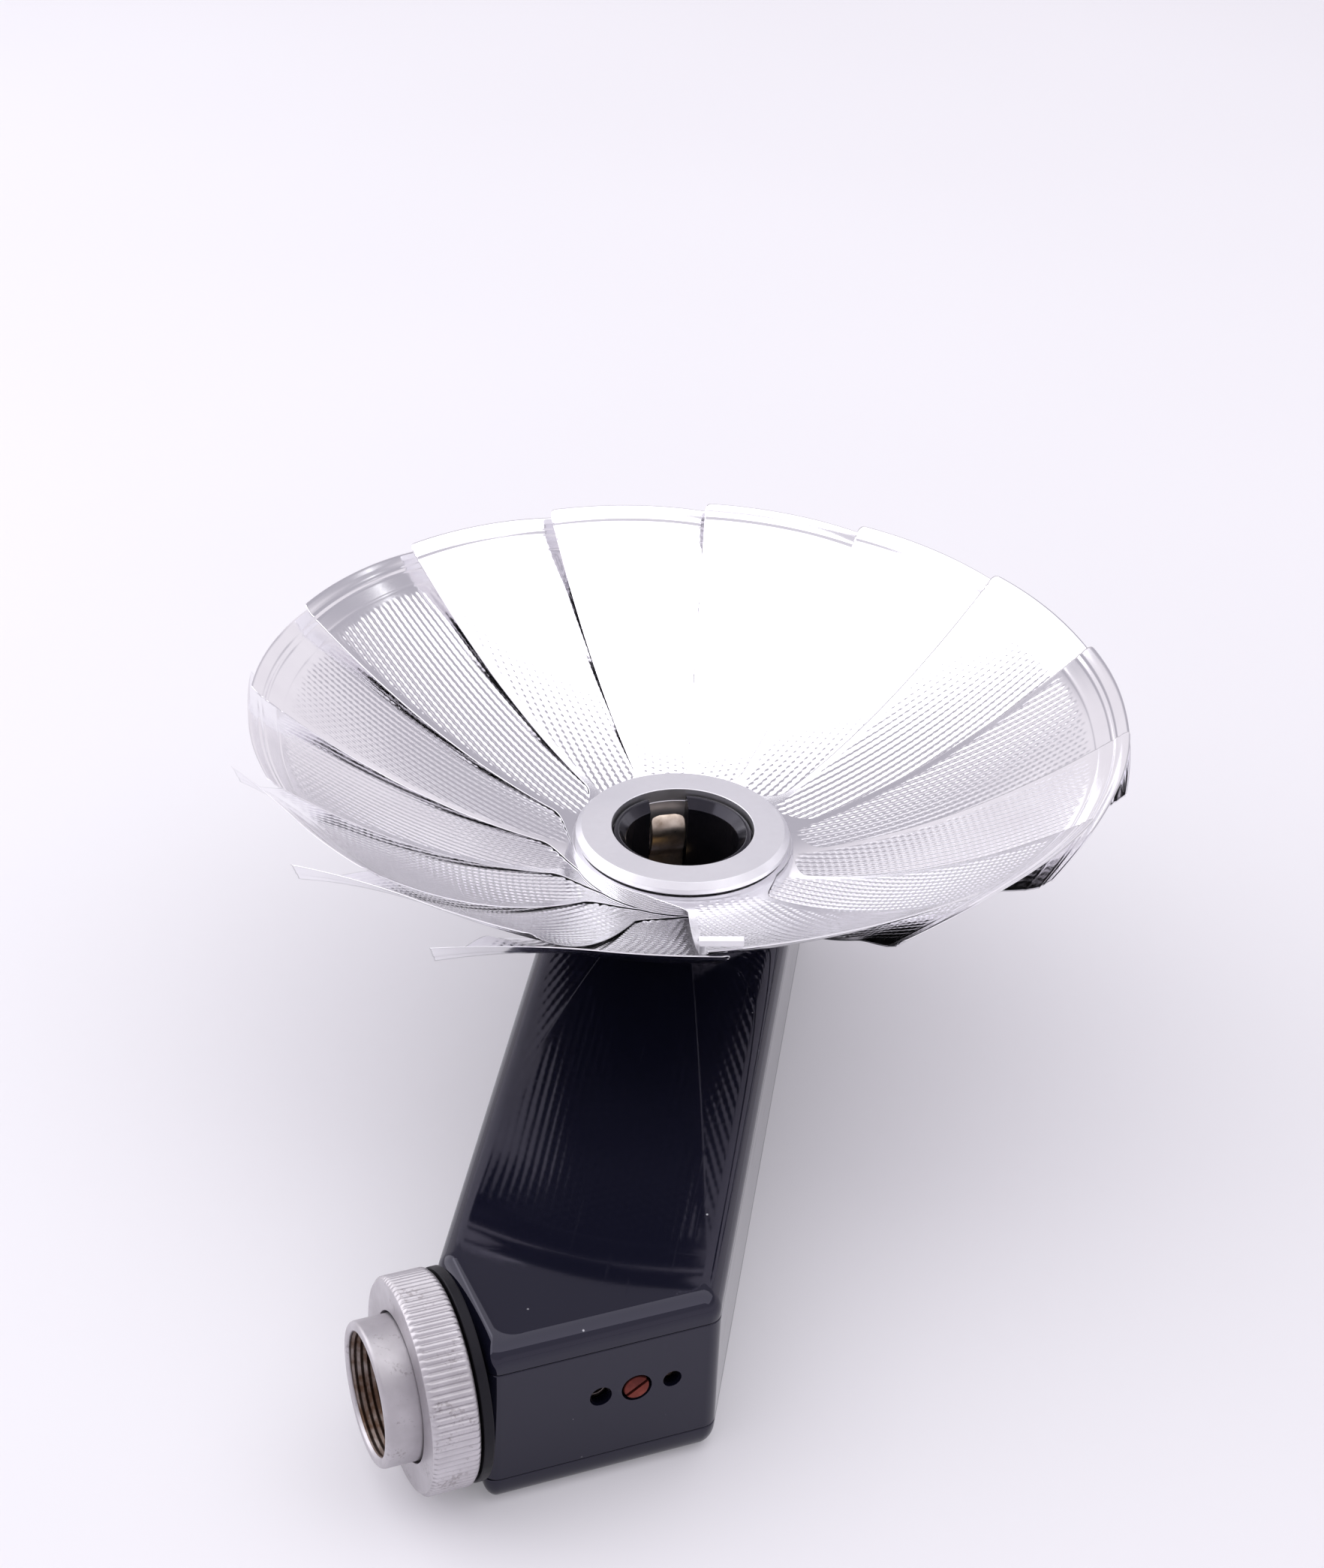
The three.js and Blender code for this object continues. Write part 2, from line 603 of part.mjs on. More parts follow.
// ---------- camera connector, +Z out of the body ----------
add('connector_collar', ring(CORE_RADIUS + 0.3, COLLAR_RADIUS, 0.3, 1.5, 32), rubberBlack, connector);
add('connector_core', lathe([[3.6, -4.5], [CORE_RADIUS, -4.5], [CORE_RADIUS, 3.4], [6.8, 3.4], [6.8, 4.4],
  [CORE_RADIUS, 4.4], [CORE_RADIUS, 6.4], [3.6, 6.4], [3.6, -4.5]], 24), brass, connector);
add('connector_insulator', lathe([[1.3, -4.5], [3.3, -4.5], [3.3, 6.1], [2.2, 6.1], [2.2, 3], [1.3, 3],
  [1.3, -4.5]], 16), bakelite, connector);
add('connector_pin', lathe([[0, -5.6], [1.8, -5.6], [1.8, -4.8], [1, -4.8], [1, 6.4], [1.8, 6.4], [1.8, 6.9],
  [1.2, 7.3], [0, 7.45]], 16), bronze, connector);
add('connector_pin_spring', coil(1.55, 0.2, 3.1, 6.3, 4), springSteel, connector);
add('locking_ring', lathe([[RING_BORE, 1.8], [12, 1.8], [RING_RADIUS, 2.2], [RING_RADIUS, 6.9], [12, 7.3],
  [RING_BORE, 7.3], [RING_BORE, 1.8]], 40), satinAluminium, connector);
add('threaded_sleeve', lathe([[5.3, 1.9], [TUBE_RADIUS, 1.9], [TUBE_RADIUS, 11], [8, 11.3], [TUBE_BORE, 11.3],
  [TUBE_BORE, 3.1], [5.3, 3.1], [5.3, 1.9]], 28), satinAluminium, connector);

// ---------- extension outlet in the foot ----------
function outletBlock() {
  // in the frame of the middle outlet, +Z out of the wall
  const body = block(-6.8, 6.8, -3.4, 3.4, -7.6, -1.8);
  const bores = [-1, 0, 1].map((step) =>
    rod(step === 0 ? 1.4 : 2.1, -10, 0, 16).translate(step * OUTLET_PITCH, 0, 0));
  return cut(body, ...bores);
}

function outletScrew() {
  const screw = lathe([[0, -6.5], [1, -6.5], [1, -1.2], [1.5, -0.7], [1.5, 0.05], [0, 0.05]], 20);
  const slot = block(-2, 2, -0.22, 0.22, -0.55, 1).rotateZ(FOOT_SLOPE);
  return cut(screw, slot);
}

const [outletLeft, outletMiddle, outletRight] = outletPlaces;
add('outlet_block', outletBlock(), bakelite, outletMiddle);
add('outlet_screw', outletScrew(), copper, outletMiddle);
add('outlet_sleeve_left', ring(1.2, 1.75, -8.2, -1.9, 16), brass, outletLeft);
add('outlet_sleeve_right', ring(1.1, 1.75, -8.2, -1.9, 16), brass, outletRight);

// ---------- internal leads ----------
const lead = (points) => alongPath(points.map((p) => new THREE.Vector3(...p)), 0.5, 16, 5);
add('lead_left', lead([[-10, -9, 9], [-12.5, -16, 10], [-13.8, -24, 11], [-13.8, -50, 11], [-13.8, -74, 11],
  [-12, -79, 9], [-5, -81, 7.5]]), rubberBlack);
add('lead_right', lead([[10, -9, 9], [12.5, -16, 10], [13.8, -24, 11], [13.8, -50, 11], [13.8, -74, 11],
  [13, -79, 9], [11.5, -81.5, 6.5]]), rubberBlack);
add('lead_connector', lead([[-5.2, -88.2, 12.6], [-4, -87.2, 12], [-2, -85.2, 9],
  [-1, -83.5, 6.6]]), rubberBlack);

export default gun;
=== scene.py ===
"""The looks of a flash bulb gun with a folding fan reflector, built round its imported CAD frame.

Shapes are worked out in millimetres in the CAD frame and become metres when a mesh is made.
"""
import math

import bmesh
import bpy
import numpy as np
from mathutils import Matrix, Vector


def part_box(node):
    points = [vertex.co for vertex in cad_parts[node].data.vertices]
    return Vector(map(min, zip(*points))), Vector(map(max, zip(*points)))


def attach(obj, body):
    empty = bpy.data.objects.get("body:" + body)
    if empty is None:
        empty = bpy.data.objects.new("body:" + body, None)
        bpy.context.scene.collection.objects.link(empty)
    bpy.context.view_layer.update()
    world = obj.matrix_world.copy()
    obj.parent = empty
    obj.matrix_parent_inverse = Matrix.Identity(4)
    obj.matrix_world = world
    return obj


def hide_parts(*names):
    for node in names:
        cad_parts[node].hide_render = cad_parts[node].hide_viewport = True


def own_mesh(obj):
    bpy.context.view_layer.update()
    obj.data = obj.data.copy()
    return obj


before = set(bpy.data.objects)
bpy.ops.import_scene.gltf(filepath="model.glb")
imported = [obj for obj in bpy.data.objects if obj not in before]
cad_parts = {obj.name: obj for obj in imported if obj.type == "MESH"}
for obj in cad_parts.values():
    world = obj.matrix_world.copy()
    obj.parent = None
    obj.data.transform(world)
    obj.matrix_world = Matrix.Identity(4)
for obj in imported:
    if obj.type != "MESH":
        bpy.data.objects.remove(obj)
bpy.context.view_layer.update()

MM = 0.001
TAU = 2 * math.pi

# ---------- driving dimensions, as in the CAD source ----------
LOWEST_CORNER = (-7.4, -100.3)
FOOT_SLOPE = math.radians(30)
HALF_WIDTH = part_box("body_shell")[1].x / MM
BODY_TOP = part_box("body_shell")[1].y / MM
BODY_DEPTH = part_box("front_cover")[1].z / MM
WALL = 1.4
FACE_THICKNESS = 1.2
COVER_SEAM = 19.3
BACK_SEAM = 3.6
SEAM_GAP = 0.07
COVER_BEVEL = 2.6

OPENING_RADIUS = 9.7
HUB_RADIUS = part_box("hub_ring")[1].x / MM
OPENING_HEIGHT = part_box("hub_ring")[1].z / MM
SLEEVE_RADIUS = 10.5
LINER_RADIUS = 9.4
SOCKET_RADIUS = 7.65
SOCKET_FLOOR = 14.2
CONTACT_ANGLE = math.radians(112)

BLADES = 15
BLADE_PITCH = 23.4
BLADE_WIDTH = 35.1
STACK_PITCH = 0.2
STACK_BASE = 24.13
FIRST_EDGE = -77.6
EYELET_INNER = 10.9
EYELET_OUTER = 15.0
CREASE_RADIUS = 55.7
RIM_RADIUS = 57.8
RIM_RISE = 1.9
FOCAL_LENGTH = 33.9
FLARE_START = -15.0  # degrees from a blade's anticlockwise edge

CONNECTOR_HEIGHT = 12.6
OUTLET_HEIGHT = 12.5
OUTLET_FIRST = 13.3
OUTLET_PITCH = 4.3
BUTTON = (0.5, -19.1)
BUTTON_RADIUS = 2.35
BUTTON_HOLE_RADIUS = 2.65
EJECT_PIN_Y = -5.5
HUB_HOLE_GAP = 0.3  # round the hub's tube, in the cover
OUTLET_HOLES = (1.3, 1.8, 1.1)  # radii in the foot's wall: left hole, screw, right hole


# ---------- mesh helpers ----------
def new_object(name, data):
    """An object in the scene for a mesh, a light or a camera."""
    thing = bpy.data.objects.new(name, data)
    bpy.context.scene.collection.objects.link(thing)
    return thing


def add_mesh(name, shape, material, place=None, weighted=True):
    """A closed smooth-shaded piece from a shape, its points and faces, in millimetres."""
    points, faces = turned(shape, place) if place else shape
    mesh = bpy.data.meshes.new(name)
    mesh.from_pydata((np.asarray(points, float) * MM).tolist(), [], [tuple(map(int, f)) for f in faces])
    builder = bmesh.new()
    builder.from_mesh(mesh)
    bmesh.ops.recalc_face_normals(builder, faces=builder.faces)
    builder.to_mesh(mesh)
    builder.free()
    mesh.materials.append(material)
    mesh.shade_smooth()
    piece = new_object(name, mesh)
    if weighted:
        weigh_normals(piece)
    return piece


def weigh_normals(piece):
    """Shades flat faces flat and rounded edges round."""
    normals = piece.modifiers.new("flat_faces_stay_flat", "WEIGHTED_NORMAL")
    normals.keep_sharp = True
    normals.weight = 80


def carve(piece, cutters, operation="DIFFERENCE"):
    """Cuts the cutters out of the piece, or joins them to it, and removes them."""
    piece.modifiers.clear()
    for cutter in cutters:
        cut = piece.modifiers.new("carve", "BOOLEAN")
        cut.object = cutter
        cut.operation = operation
        cut.solver = "EXACT"
    bpy.context.view_layer.update()
    carved = bpy.data.meshes.new_from_object(piece.evaluated_get(bpy.context.evaluated_depsgraph_get()))
    piece.modifiers.clear()
    piece.data = carved
    for cutter in cutters:
        bpy.data.objects.remove(cutter)
    weigh_normals(piece)
    return piece


def round_edges(piece, width):
    """Rounds every edge sharper than 40 degrees."""
    bevel = piece.modifiers.new("rounded_edges", "BEVEL")
    bevel.width = width * MM
    bevel.segments = 2
    bevel.limit_method = "ANGLE"
    bevel.angle_limit = math.radians(40)
    weigh_normals(piece)


def soften(piece, width):
    """Rounds the sharp edges that a boolean or an extrusion leaves."""
    piece.modifiers.clear()
    round_edges(piece, width)


def settle(piece, slot, *nodes, body="gun_body"):
    """The piece rides on a body and hides the CAD nodes that it stands for; slot is not used."""
    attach(piece, body)
    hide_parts(*nodes)
    return piece


def rounded(points, steps=4):
    """An outline whose corners (x, y, radius) become arcs."""
    out = []
    for i, (x, y, radius) in enumerate(points):
        here = np.array((x, y), float)
        if radius == 0:
            out.append(here)
            continue
        back = np.array(points[i - 1][:2], float) - here
        ahead = np.array(points[(i + 1) % len(points)][:2], float) - here
        back /= np.linalg.norm(back)
        ahead /= np.linalg.norm(ahead)
        half = 0.5 * math.acos(float(np.clip(back @ ahead, -1, 1)))
        middle = (back + ahead) / np.linalg.norm(back + ahead)
        centre = here + middle * radius / math.sin(half)
        start = here + back * radius / math.tan(half) - centre
        end = here + ahead * radius / math.tan(half) - centre
        first = math.atan2(start[1], start[0])
        sweep = (math.atan2(end[1], end[0]) - first + math.pi) % TAU - math.pi
        for step in range(steps + 1):
            angle = first + sweep * step / steps
            out.append(centre + radius * np.array((math.cos(angle), math.sin(angle))))
    return out


def lathe(profile, segments=96, shape=None):
    """Points and faces of a closed outline (radius, height) turned about Z. A point on the axis is a pole."""
    points, faces, rows = [], [], []
    for r, z in profile:
        if r < 1e-6:
            rows.append([len(points)])
            points.append((0, 0, z))
            continue
        rows.append(list(range(len(points), len(points) + segments)))
        for i in range(segments):
            theta = TAU * i / segments
            radius = shape(r, z, theta) if shape else r
            points.append((radius * math.cos(theta), radius * math.sin(theta), z))
    for low, high in zip(rows, rows[1:] + rows[:1]):
        if len(low) == 1 and len(high) == 1:
            continue
        for i in range(segments):
            n = (i + 1) % segments
            if len(low) == 1:
                faces.append((low[0], high[n], high[i]))
            elif len(high) == 1:
                faces.append((low[i], low[n], high[0]))
            else:
                faces.append((low[i], low[n], high[n], high[i]))
    return points, faces


def ring_profile(inner, outer, bottom, top, edge=0.12):
    """The section of a plain ring, with small rounded edges."""
    return rounded([(inner, bottom, edge), (outer, bottom, edge), (outer, top, edge), (inner, top, edge)])


def loft(rings, capped=True):
    """Points and faces of rings of equal length joined in order.

    The ends are flat, or without caps the last ring is joined to the first.
    """
    count = len(rings[0])
    points = [p for ring in rings for p in ring]
    faces = []
    for band in range(len(rings) - 1 if capped else len(rings)):
        low = band * count
        high = ((band + 1) % len(rings)) * count
        for i in range(count):
            n = (i + 1) % count
            faces.append((low + i, low + n, high + n, high + i))
    if capped:
        last = (len(rings) - 1) * count
        faces.append(tuple(reversed(range(count))))
        faces.append(tuple(last + i for i in range(count)))
    return points, faces


def corner_ring(corners, inset, z, extra=0.0):
    """A ring at height z: the convex outline of corners (x, y, radius) moved in by inset."""
    least = 0.25
    count = len(corners)
    moved = []
    for i, (x, y, radius) in enumerate(corners):
        into = np.array((x, y)) - np.array(corners[i - 1][:2])
        out = np.array(corners[(i + 1) % count][:2]) - np.array((x, y))
        into = into / np.linalg.norm(into)
        out = out / np.linalg.norm(out)
        turn = math.acos(float(np.clip(into @ out, -1, 1)))
        point = np.array((x, y)) + inset * np.array((-into[1], into[0])) - into * inset * math.tan(turn / 2)
        moved.append((point[0], point[1], max(radius - inset, least * radius) + extra))
    return [(x, y, z) for x, y in rounded(moved, 8)]


def slab(corners, bottom, top, edge=0.2, steps=3):
    """Points and faces of a plate with the outline of corners and rounded edges."""
    turns = np.linspace(0, math.pi / 2, steps + 1)
    levels = [(edge * (1 - math.sin(a)), edge * (1 - math.cos(a))) for a in turns]
    rings = [corner_ring(corners, inset, bottom + rise) for inset, rise in levels]
    rings += [corner_ring(corners, inset, top - rise) for inset, rise in reversed(levels)]
    return loft(rings)


def rectangle(x0, x1, y0, y1, radius=0.6):
    """Corners (x, y, radius) of a rectangle, anticlockwise."""
    return [(x0, y0, radius), (x1, y0, radius), (x1, y1, radius), (x0, y1, radius)]


def tube(path, radius, sides=10):
    """Points and faces of a round wire along a path, with domed ends."""
    path = [Vector(p) for p in path]
    rings = []
    tangent = (path[1] - path[0]).normalized()
    side = tangent.orthogonal().normalized()
    last = len(path) - 1
    for i, point in enumerate(path):
        tangent = (path[min(i + 1, last)] - path[max(i - 1, 0)]).normalized()
        side = (side - tangent * side.dot(tangent)).normalized()
        up = tangent.cross(side)
        sizes = [(1, 0)]
        if i == 0:
            sizes = [(0.55, 0), (0.9, 0.25)]
        elif i == last:
            sizes = [(0.9, -0.25), (0.55, 0)]
        for scale, shift in sizes:
            centre = point + tangent * (radius * shift)
            rings.append([tuple(centre + (side * math.cos(a) + up * math.sin(a)) * radius * scale)
                          for a in np.arange(sides) * TAU / sides])
    return loft(rings)


def curve_points(points, steps):
    """A smooth path through the points, by Catmull-Rom."""
    p = [np.array(q, float) for q in points]
    p = [2 * p[0] - p[1]] + p + [2 * p[-1] - p[-2]]
    out = []
    for i in range(1, len(p) - 2):
        for t in np.arange(steps) / steps:
            a, b, c, d = p[i - 1:i + 3]
            out.append(0.5 * (2 * b + (c - a) * t + (2 * a - 5 * b + 4 * c - d) * t ** 2
                              + (3 * b - a - 3 * c + d) * t ** 3))
    out.append(p[-2])
    return out


def coil_path(radius, bottom, top, turns):
    """A compression spring's centre line, with its end turns lying flat."""
    steps = 24
    path = []
    for i in range(turns * steps + 1):
        t = i / (turns * steps)
        rise = np.clip((t - 0.12) / 0.76, 0, 1)
        angle = TAU * i / steps
        path.append((radius * math.cos(angle), radius * math.sin(angle), bottom + (top - bottom) * rise))
    return path


def strip(path, thickness, width, end_round=0.0):
    """Points and faces of a bent metal strip: path points (x, z), the strip centred on Y = 0.

    With end_round, the last stretch of that length narrows to a round end.
    """
    path = [np.array(p, float) for p in path]
    lengths = np.cumsum([0] + [np.linalg.norm(b - a) for a, b in zip(path, path[1:])])
    rings = []
    for i, point in enumerate(path):
        ahead = path[min(i + 1, len(path) - 1)] - path[max(i - 1, 0)]
        ahead /= np.linalg.norm(ahead)
        across = np.array((ahead[1], -ahead[0])) * thickness / 2
        left = lengths[-1] - lengths[i]
        half = width / 2
        if left < end_round:
            half *= max(0.5, (1 - (1 - left / end_round) ** 3) ** (1 / 3))
        edge = thickness * 0.3
        section = [(-1, -half + edge), (-1, half - edge), (-0.4, half), (0.4, half),
                   (1, half - edge), (1, -half + edge), (0.4, -half), (-0.4, -half)]
        rings.append([(point[0] + across[0] * s, y, point[1] + across[1] * s) for s, y in section])
    return loft(rings)


def turned(shape, matrix):
    """A shape moved and turned by a matrix."""
    points, faces = shape
    turn = np.array(matrix)
    return np.asarray(points, float) @ turn[:3, :3].T + turn[:3, 3], faces


def along_x(y, z, x=0.0):
    """Stands a shape made about +Z along +X, at a height and place."""
    return Matrix.Translation((x, y, z)) @ Matrix.Rotation(math.pi / 2, 4, "Y")


def about_z(angle):
    return Matrix.Rotation(angle, 4, "Z")


def moved(x, y, z):
    return Matrix.Translation((x, y, z))


def cutter(shape, place=None):
    """A piece that is only cut out of another, or joined to it."""
    return add_mesh("cutter", shape, MATT_BLACK, place, weighted=False)


def hole(radius, bottom, top, place=None):
    """A cutter that drills a round hole along the place's Z."""
    return cutter(lathe([(0, bottom), (radius, bottom), (radius, top), (0, top)], 72), place)


# ---------- materials ----------
class Nodes:
    """Small helper for building the nodes of a material or a world.

    place is the output of the texture coordinates that all its patterns follow.
    """

    def __init__(self, owner, place):
        owner.use_nodes = True
        self.owner = owner
        self.tree = owner.node_tree
        self.place = self.add("ShaderNodeTexCoord").outputs[place]

    def add(self, kind, **settings):
        node = self.tree.nodes.new(kind)
        for key, value in settings.items():
            if key in node.inputs:
                node.inputs[key].default_value = value
            else:
                setattr(node, key, value)
        return node

    def link(self, source, target):
        self.tree.links.new(source, target)

    def along(self, axis):
        node = self.add("ShaderNodeSeparateXYZ")
        self.link(self.place, node.inputs[0])
        return node.outputs[axis]

    def stretched(self, scale):
        node = self.add("ShaderNodeMapping", Scale=scale)
        self.link(self.place, node.inputs["Vector"])
        return node.outputs["Vector"]

    def noise(self, scale, detail, stretch=None):
        node = self.add("ShaderNodeTexNoise", Scale=scale, Detail=detail, Roughness=0.6)
        self.link(self.stretched(stretch) if stretch else self.place, node.inputs["Vector"])
        return node.outputs["Fac"]

    def span(self, value, low, high, to_low=0.0, to_high=1.0, curve="LINEAR"):
        node = self.add("ShaderNodeMapRange", interpolation_type=curve)
        for key, number in zip(("From Min", "From Max", "To Min", "To Max"), (low, high, to_low, to_high)):
            node.inputs[key].default_value = number
        self.link(value, node.inputs["Value"])
        return node.outputs["Result"]

    def mixed(self, factor, first, second):
        node = self.add("ShaderNodeMix", data_type="RGBA")
        self.link(factor, node.inputs["Factor"])
        for socket, colour in ((node.inputs[6], first), (node.inputs[7], second)):
            if isinstance(colour, tuple):
                socket.default_value = (*colour, 1)
            else:
                self.link(colour, socket)
        return node.outputs[2]

    def maths(self, operation, first, second):
        node = self.add("ShaderNodeMath", operation=operation)
        self.link(first, node.inputs[0])
        self.link(second, node.inputs[1])
        return node.outputs["Value"]

    def bump(self, height, strength, distance, normal=None):
        node = self.add("ShaderNodeBump", Strength=strength, Distance=distance * MM)
        self.link(height, node.inputs["Height"])
        if normal is not None:
            self.link(normal, node.inputs["Normal"])
        return node.outputs["Normal"]

    def finish(self, colour, roughness, normal=None, **fixed):
        inputs = self.tree.nodes["Principled BSDF"].inputs
        self.link(colour, inputs["Base Color"])
        self.link(roughness, inputs["Roughness"])
        if normal is not None:
            self.link(normal, inputs["Normal"])
        for key, value in fixed.items():
            inputs[key.replace("_", " ")].default_value = value
        return self.owner


def material_nodes(name):
    """The nodes of a new material whose patterns lie in its piece's own metres."""
    return Nodes(bpy.data.materials.new(name), "Object")


def bright_aluminium():
    """Rolled reflector sheet: bright, with faint rolling streaks and hazy spots."""
    n = material_nodes("bright_aluminium")
    haze = n.noise(90, 4)
    streaks = n.noise(900, 2, stretch=(1, 14, 14))
    colour = n.mixed(n.span(haze, 0.35, 0.7), (0.955, 0.95, 0.97), (0.90, 0.89, 0.915))
    roughness = n.span(haze, 0.3, 0.75, 0.09, 0.17)
    normal = n.bump(streaks, 0.12, 0.02)
    return n.finish(colour, roughness, normal, Metallic=1.0)


def satin_aluminium(name, light=(0.9, 0.895, 0.92), dark=(0.81, 0.80, 0.825), grooves=True, grime=0.0):
    """Turned satin aluminium with fine tool marks, and grime in its pits."""
    n = material_nodes(name)
    cloud = n.noise(140, 4)
    pits = n.noise(2600, 3)
    colour = n.mixed(n.span(cloud, 0.35, 0.7), light, dark)
    if grime:
        dirt = n.span(n.maths("MULTIPLY", pits, n.noise(300, 2)), 0.33, 0.42, 0, grime)
        colour = n.mixed(dirt, colour, (0.16, 0.13, 0.13))
    roughness = n.span(cloud, 0.3, 0.7, 0.36, 0.48)
    normal = n.bump(pits, 0.18, 0.03)
    if grooves:
        wave = n.add("ShaderNodeTexWave", wave_type="RINGS", rings_direction="Z", Scale=1500.0,
                     Distortion=1.2)
        n.link(n.place, wave.inputs["Vector"])
        normal = n.bump(wave.outputs["Fac"], 0.12, 0.01, normal)
    return n.finish(colour, roughness, normal, Metallic=1.0)


def gloss_enamel():
    """Stoved black enamel: deep, slightly blue, with dust specks, hairline scratches and a soft ripple."""
    n = material_nodes("gloss_enamel")
    ripple = n.noise(70, 1)
    orange_peel = n.noise(900, 2)
    specks = n.add("ShaderNodeTexVoronoi", Scale=210.0, feature="F1")
    n.link(n.place, specks.inputs["Vector"])
    rare = n.span(n.noise(37, 1), 0.6, 0.66)
    dust = n.maths("MULTIPLY", n.span(specks.outputs["Distance"], 0.035, 0.02), rare)
    colour = n.mixed(dust, (0.0045, 0.0048, 0.011), (0.5, 0.5, 0.52))
    hairlines = n.span(n.noise(1500, 2, stretch=(1, 0.03, 1)), 0.66, 0.72)
    crossed = n.span(n.noise(1300, 2, stretch=(0.04, 1, 1)), 0.68, 0.73)
    scratches = n.maths("MAXIMUM", hairlines, crossed)
    roughness = n.span(n.maths("MAXIMUM", scratches, n.span(ripple, 0.2, 0.8, 0, 0.3)), 0, 1, 0.035, 0.16)
    normal = n.bump(ripple, 0.5, 0.02)
    normal = n.bump(orange_peel, 0.05, 0.01, normal)
    normal = n.bump(scratches, 0.08, 0.004, normal)
    return n.finish(colour, roughness, normal, IOR=1.5, Specular_Tint=(0.93, 0.9, 1.12, 1))


def moulded(name, colour, tint, roughness, grain=0.1, shine=0.5):
    """Moulded or sawn plastic with a faint mottle and fine surface grain."""
    n = material_nodes(name)
    mottle = n.noise(260, 4)
    normal = n.bump(n.noise(2400, 3), grain, 0.02)
    return n.finish(n.mixed(n.span(mottle, 0.35, 0.65), colour, tint),
                    n.span(mottle, 0.3, 0.7, roughness * 0.75, roughness * 1.25), normal,
                    Specular_IOR_Level=shine, Specular_Tint=(0.93, 0.9, 1.08, 1))


def laminate():
    """Paper phenolic board: brown, with layered fibres."""
    n = material_nodes("phenolic_board")
    fibres = n.noise(700, 4, stretch=(1, 1, 9))
    colour = n.mixed(n.span(fibres, 0.35, 0.7), (0.34, 0.17, 0.08), (0.2, 0.09, 0.045))
    return n.finish(colour, n.span(fibres, 0.3, 0.7, 0.42, 0.6), n.bump(fibres, 0.2, 0.03))


def plain_metal(name, colour, tarnish, roughness=0.3, wear=0.6):
    """Brass, bronze, copper or steel with blotches of tarnish and fine scratches."""
    n = material_nodes(name)
    blotches = n.noise(330, 5)
    scratches = n.noise(1800, 2, stretch=(1, 0.1, 1))
    shade = n.mixed(n.span(blotches, wear - 0.15, wear + 0.12), colour, tarnish)
    rough = n.span(blotches, 0.3, 0.75, roughness * 0.8, roughness * 1.6)
    return n.finish(shade, rough, n.bump(scratches, 0.15, 0.02), Metallic=1.0)


def battery_wrap():
    """Printed card wrap in two plain bands, slightly fibrous."""
    n = material_nodes("battery_wrap")
    band = n.span(n.along("Y"), -0.0405, -0.0402)
    fibre = n.noise(1100, 4)
    plain = n.mixed(n.span(fibre, 0.3, 0.7), (0.045, 0.1, 0.2), (0.06, 0.13, 0.25))
    colour = n.mixed(band, plain, (0.55, 0.42, 0.2))
    return n.finish(colour, n.span(fibre, 0.3, 0.7, 0.4, 0.55), n.bump(fibre, 0.12, 0.02))


REFLECTOR = bright_aluminium()
SATIN = satin_aluminium("satin_aluminium")
SATIN_PLAIN = satin_aluminium("satin_sheet", grooves=False)
# A darker copy of the satin aluminium for the connector's knurled ring and sleeve. Its lower tone is painted
# shade for the dimmer light on that side, and the dark spots in its pits are grime.
SATIN_SHADE_AND_GRIME = satin_aluminium("satin_shade_and_grime", (0.58, 0.56, 0.585), (0.46, 0.44, 0.46), grime=0.4)
ENAMEL = gloss_enamel()
BAKELITE = moulded("bakelite", (0.006, 0.006, 0.008), (0.011, 0.01, 0.012), 0.13, 0.05)
MATT_BLACK = moulded("matt_black", (0.005, 0.005, 0.006), (0.009, 0.009, 0.01), 0.5, 0.2, 0.2)
RUBBER = moulded("lead_rubber", (0.016, 0.016, 0.017), (0.03, 0.029, 0.029), 0.55, 0.3)
PHENOLIC = laminate()
BRASS = plain_metal("brass", (0.72, 0.5, 0.22), (0.3, 0.17, 0.07))
OLD_BRASS = plain_metal("worn_thread_brass", (0.33, 0.3, 0.29), (0.13, 0.08, 0.055), 0.45, 0.46)
BRONZE = plain_metal("bronze", (0.74, 0.64, 0.54), (0.42, 0.33, 0.26), 0.32)
PALE_CONTACT = plain_metal("pale_contact", (0.86, 0.8, 0.79), (0.6, 0.5, 0.48), 0.3, 0.65)
STEEL = plain_metal("spring_steel", (0.6, 0.6, 0.62), (0.36, 0.35, 0.35), 0.26)
COPPER = plain_metal("copper_red", (0.24, 0.06, 0.045), (0.13, 0.035, 0.03), 0.5, 0.5)
CARD = battery_wrap()


# ---------- folding fan ----------
ROOT_FILLET = 4.5
ROOT_SWEEP = 20.0  # degrees that a blade's edge sweeps round the hub as it meets its disc
EMBOSS_PITCH = 1.07
EMBOSS_START = 15.9
EMBOSS_END = 53.0
EMBOSS_MARGIN = 1.25
RIB_HEIGHT = 0.04
DIMPLE_HEIGHT = 0.05
BAND_CREASE = 53.9
SHEET = 0.1  # thickness
CROWN = 0.5  # how far a blade's middle stands above its edges at the rim
TILT = 2.0  # how much higher the exposed edge is than the covered one
SINK = 0.35  # how far the whole blade lies below the bowl's curve there
RIM_FLARE = 2.58  # how far a blade's clockwise end runs out of the circle
RIM_DROOP = 2.0  # how far it lies below the circle there
CREASE_FLARE = 3.6  # the same two at the crease
CREASE_DROOP = 2.7
FLARE_INNER = 47.6  # radius where both begin
SMALL_FLARE = 0.3  # share of it on the blades of the right side
LAST_FULL_FLARE = 10  # the last blade that has all of it
RIM_CORNER = 1.1
BLADE_MIDDLE = -BLADE_WIDTH / 2
COLUMNS = 132  # steps across a blade
DISC_COLUMNS = 40  # steps round the rest of its disc
RIM_HEIGHT = (CREASE_RADIUS ** 2 - EYELET_OUTER ** 2) / (4 * FOCAL_LENGTH) + RIM_RISE


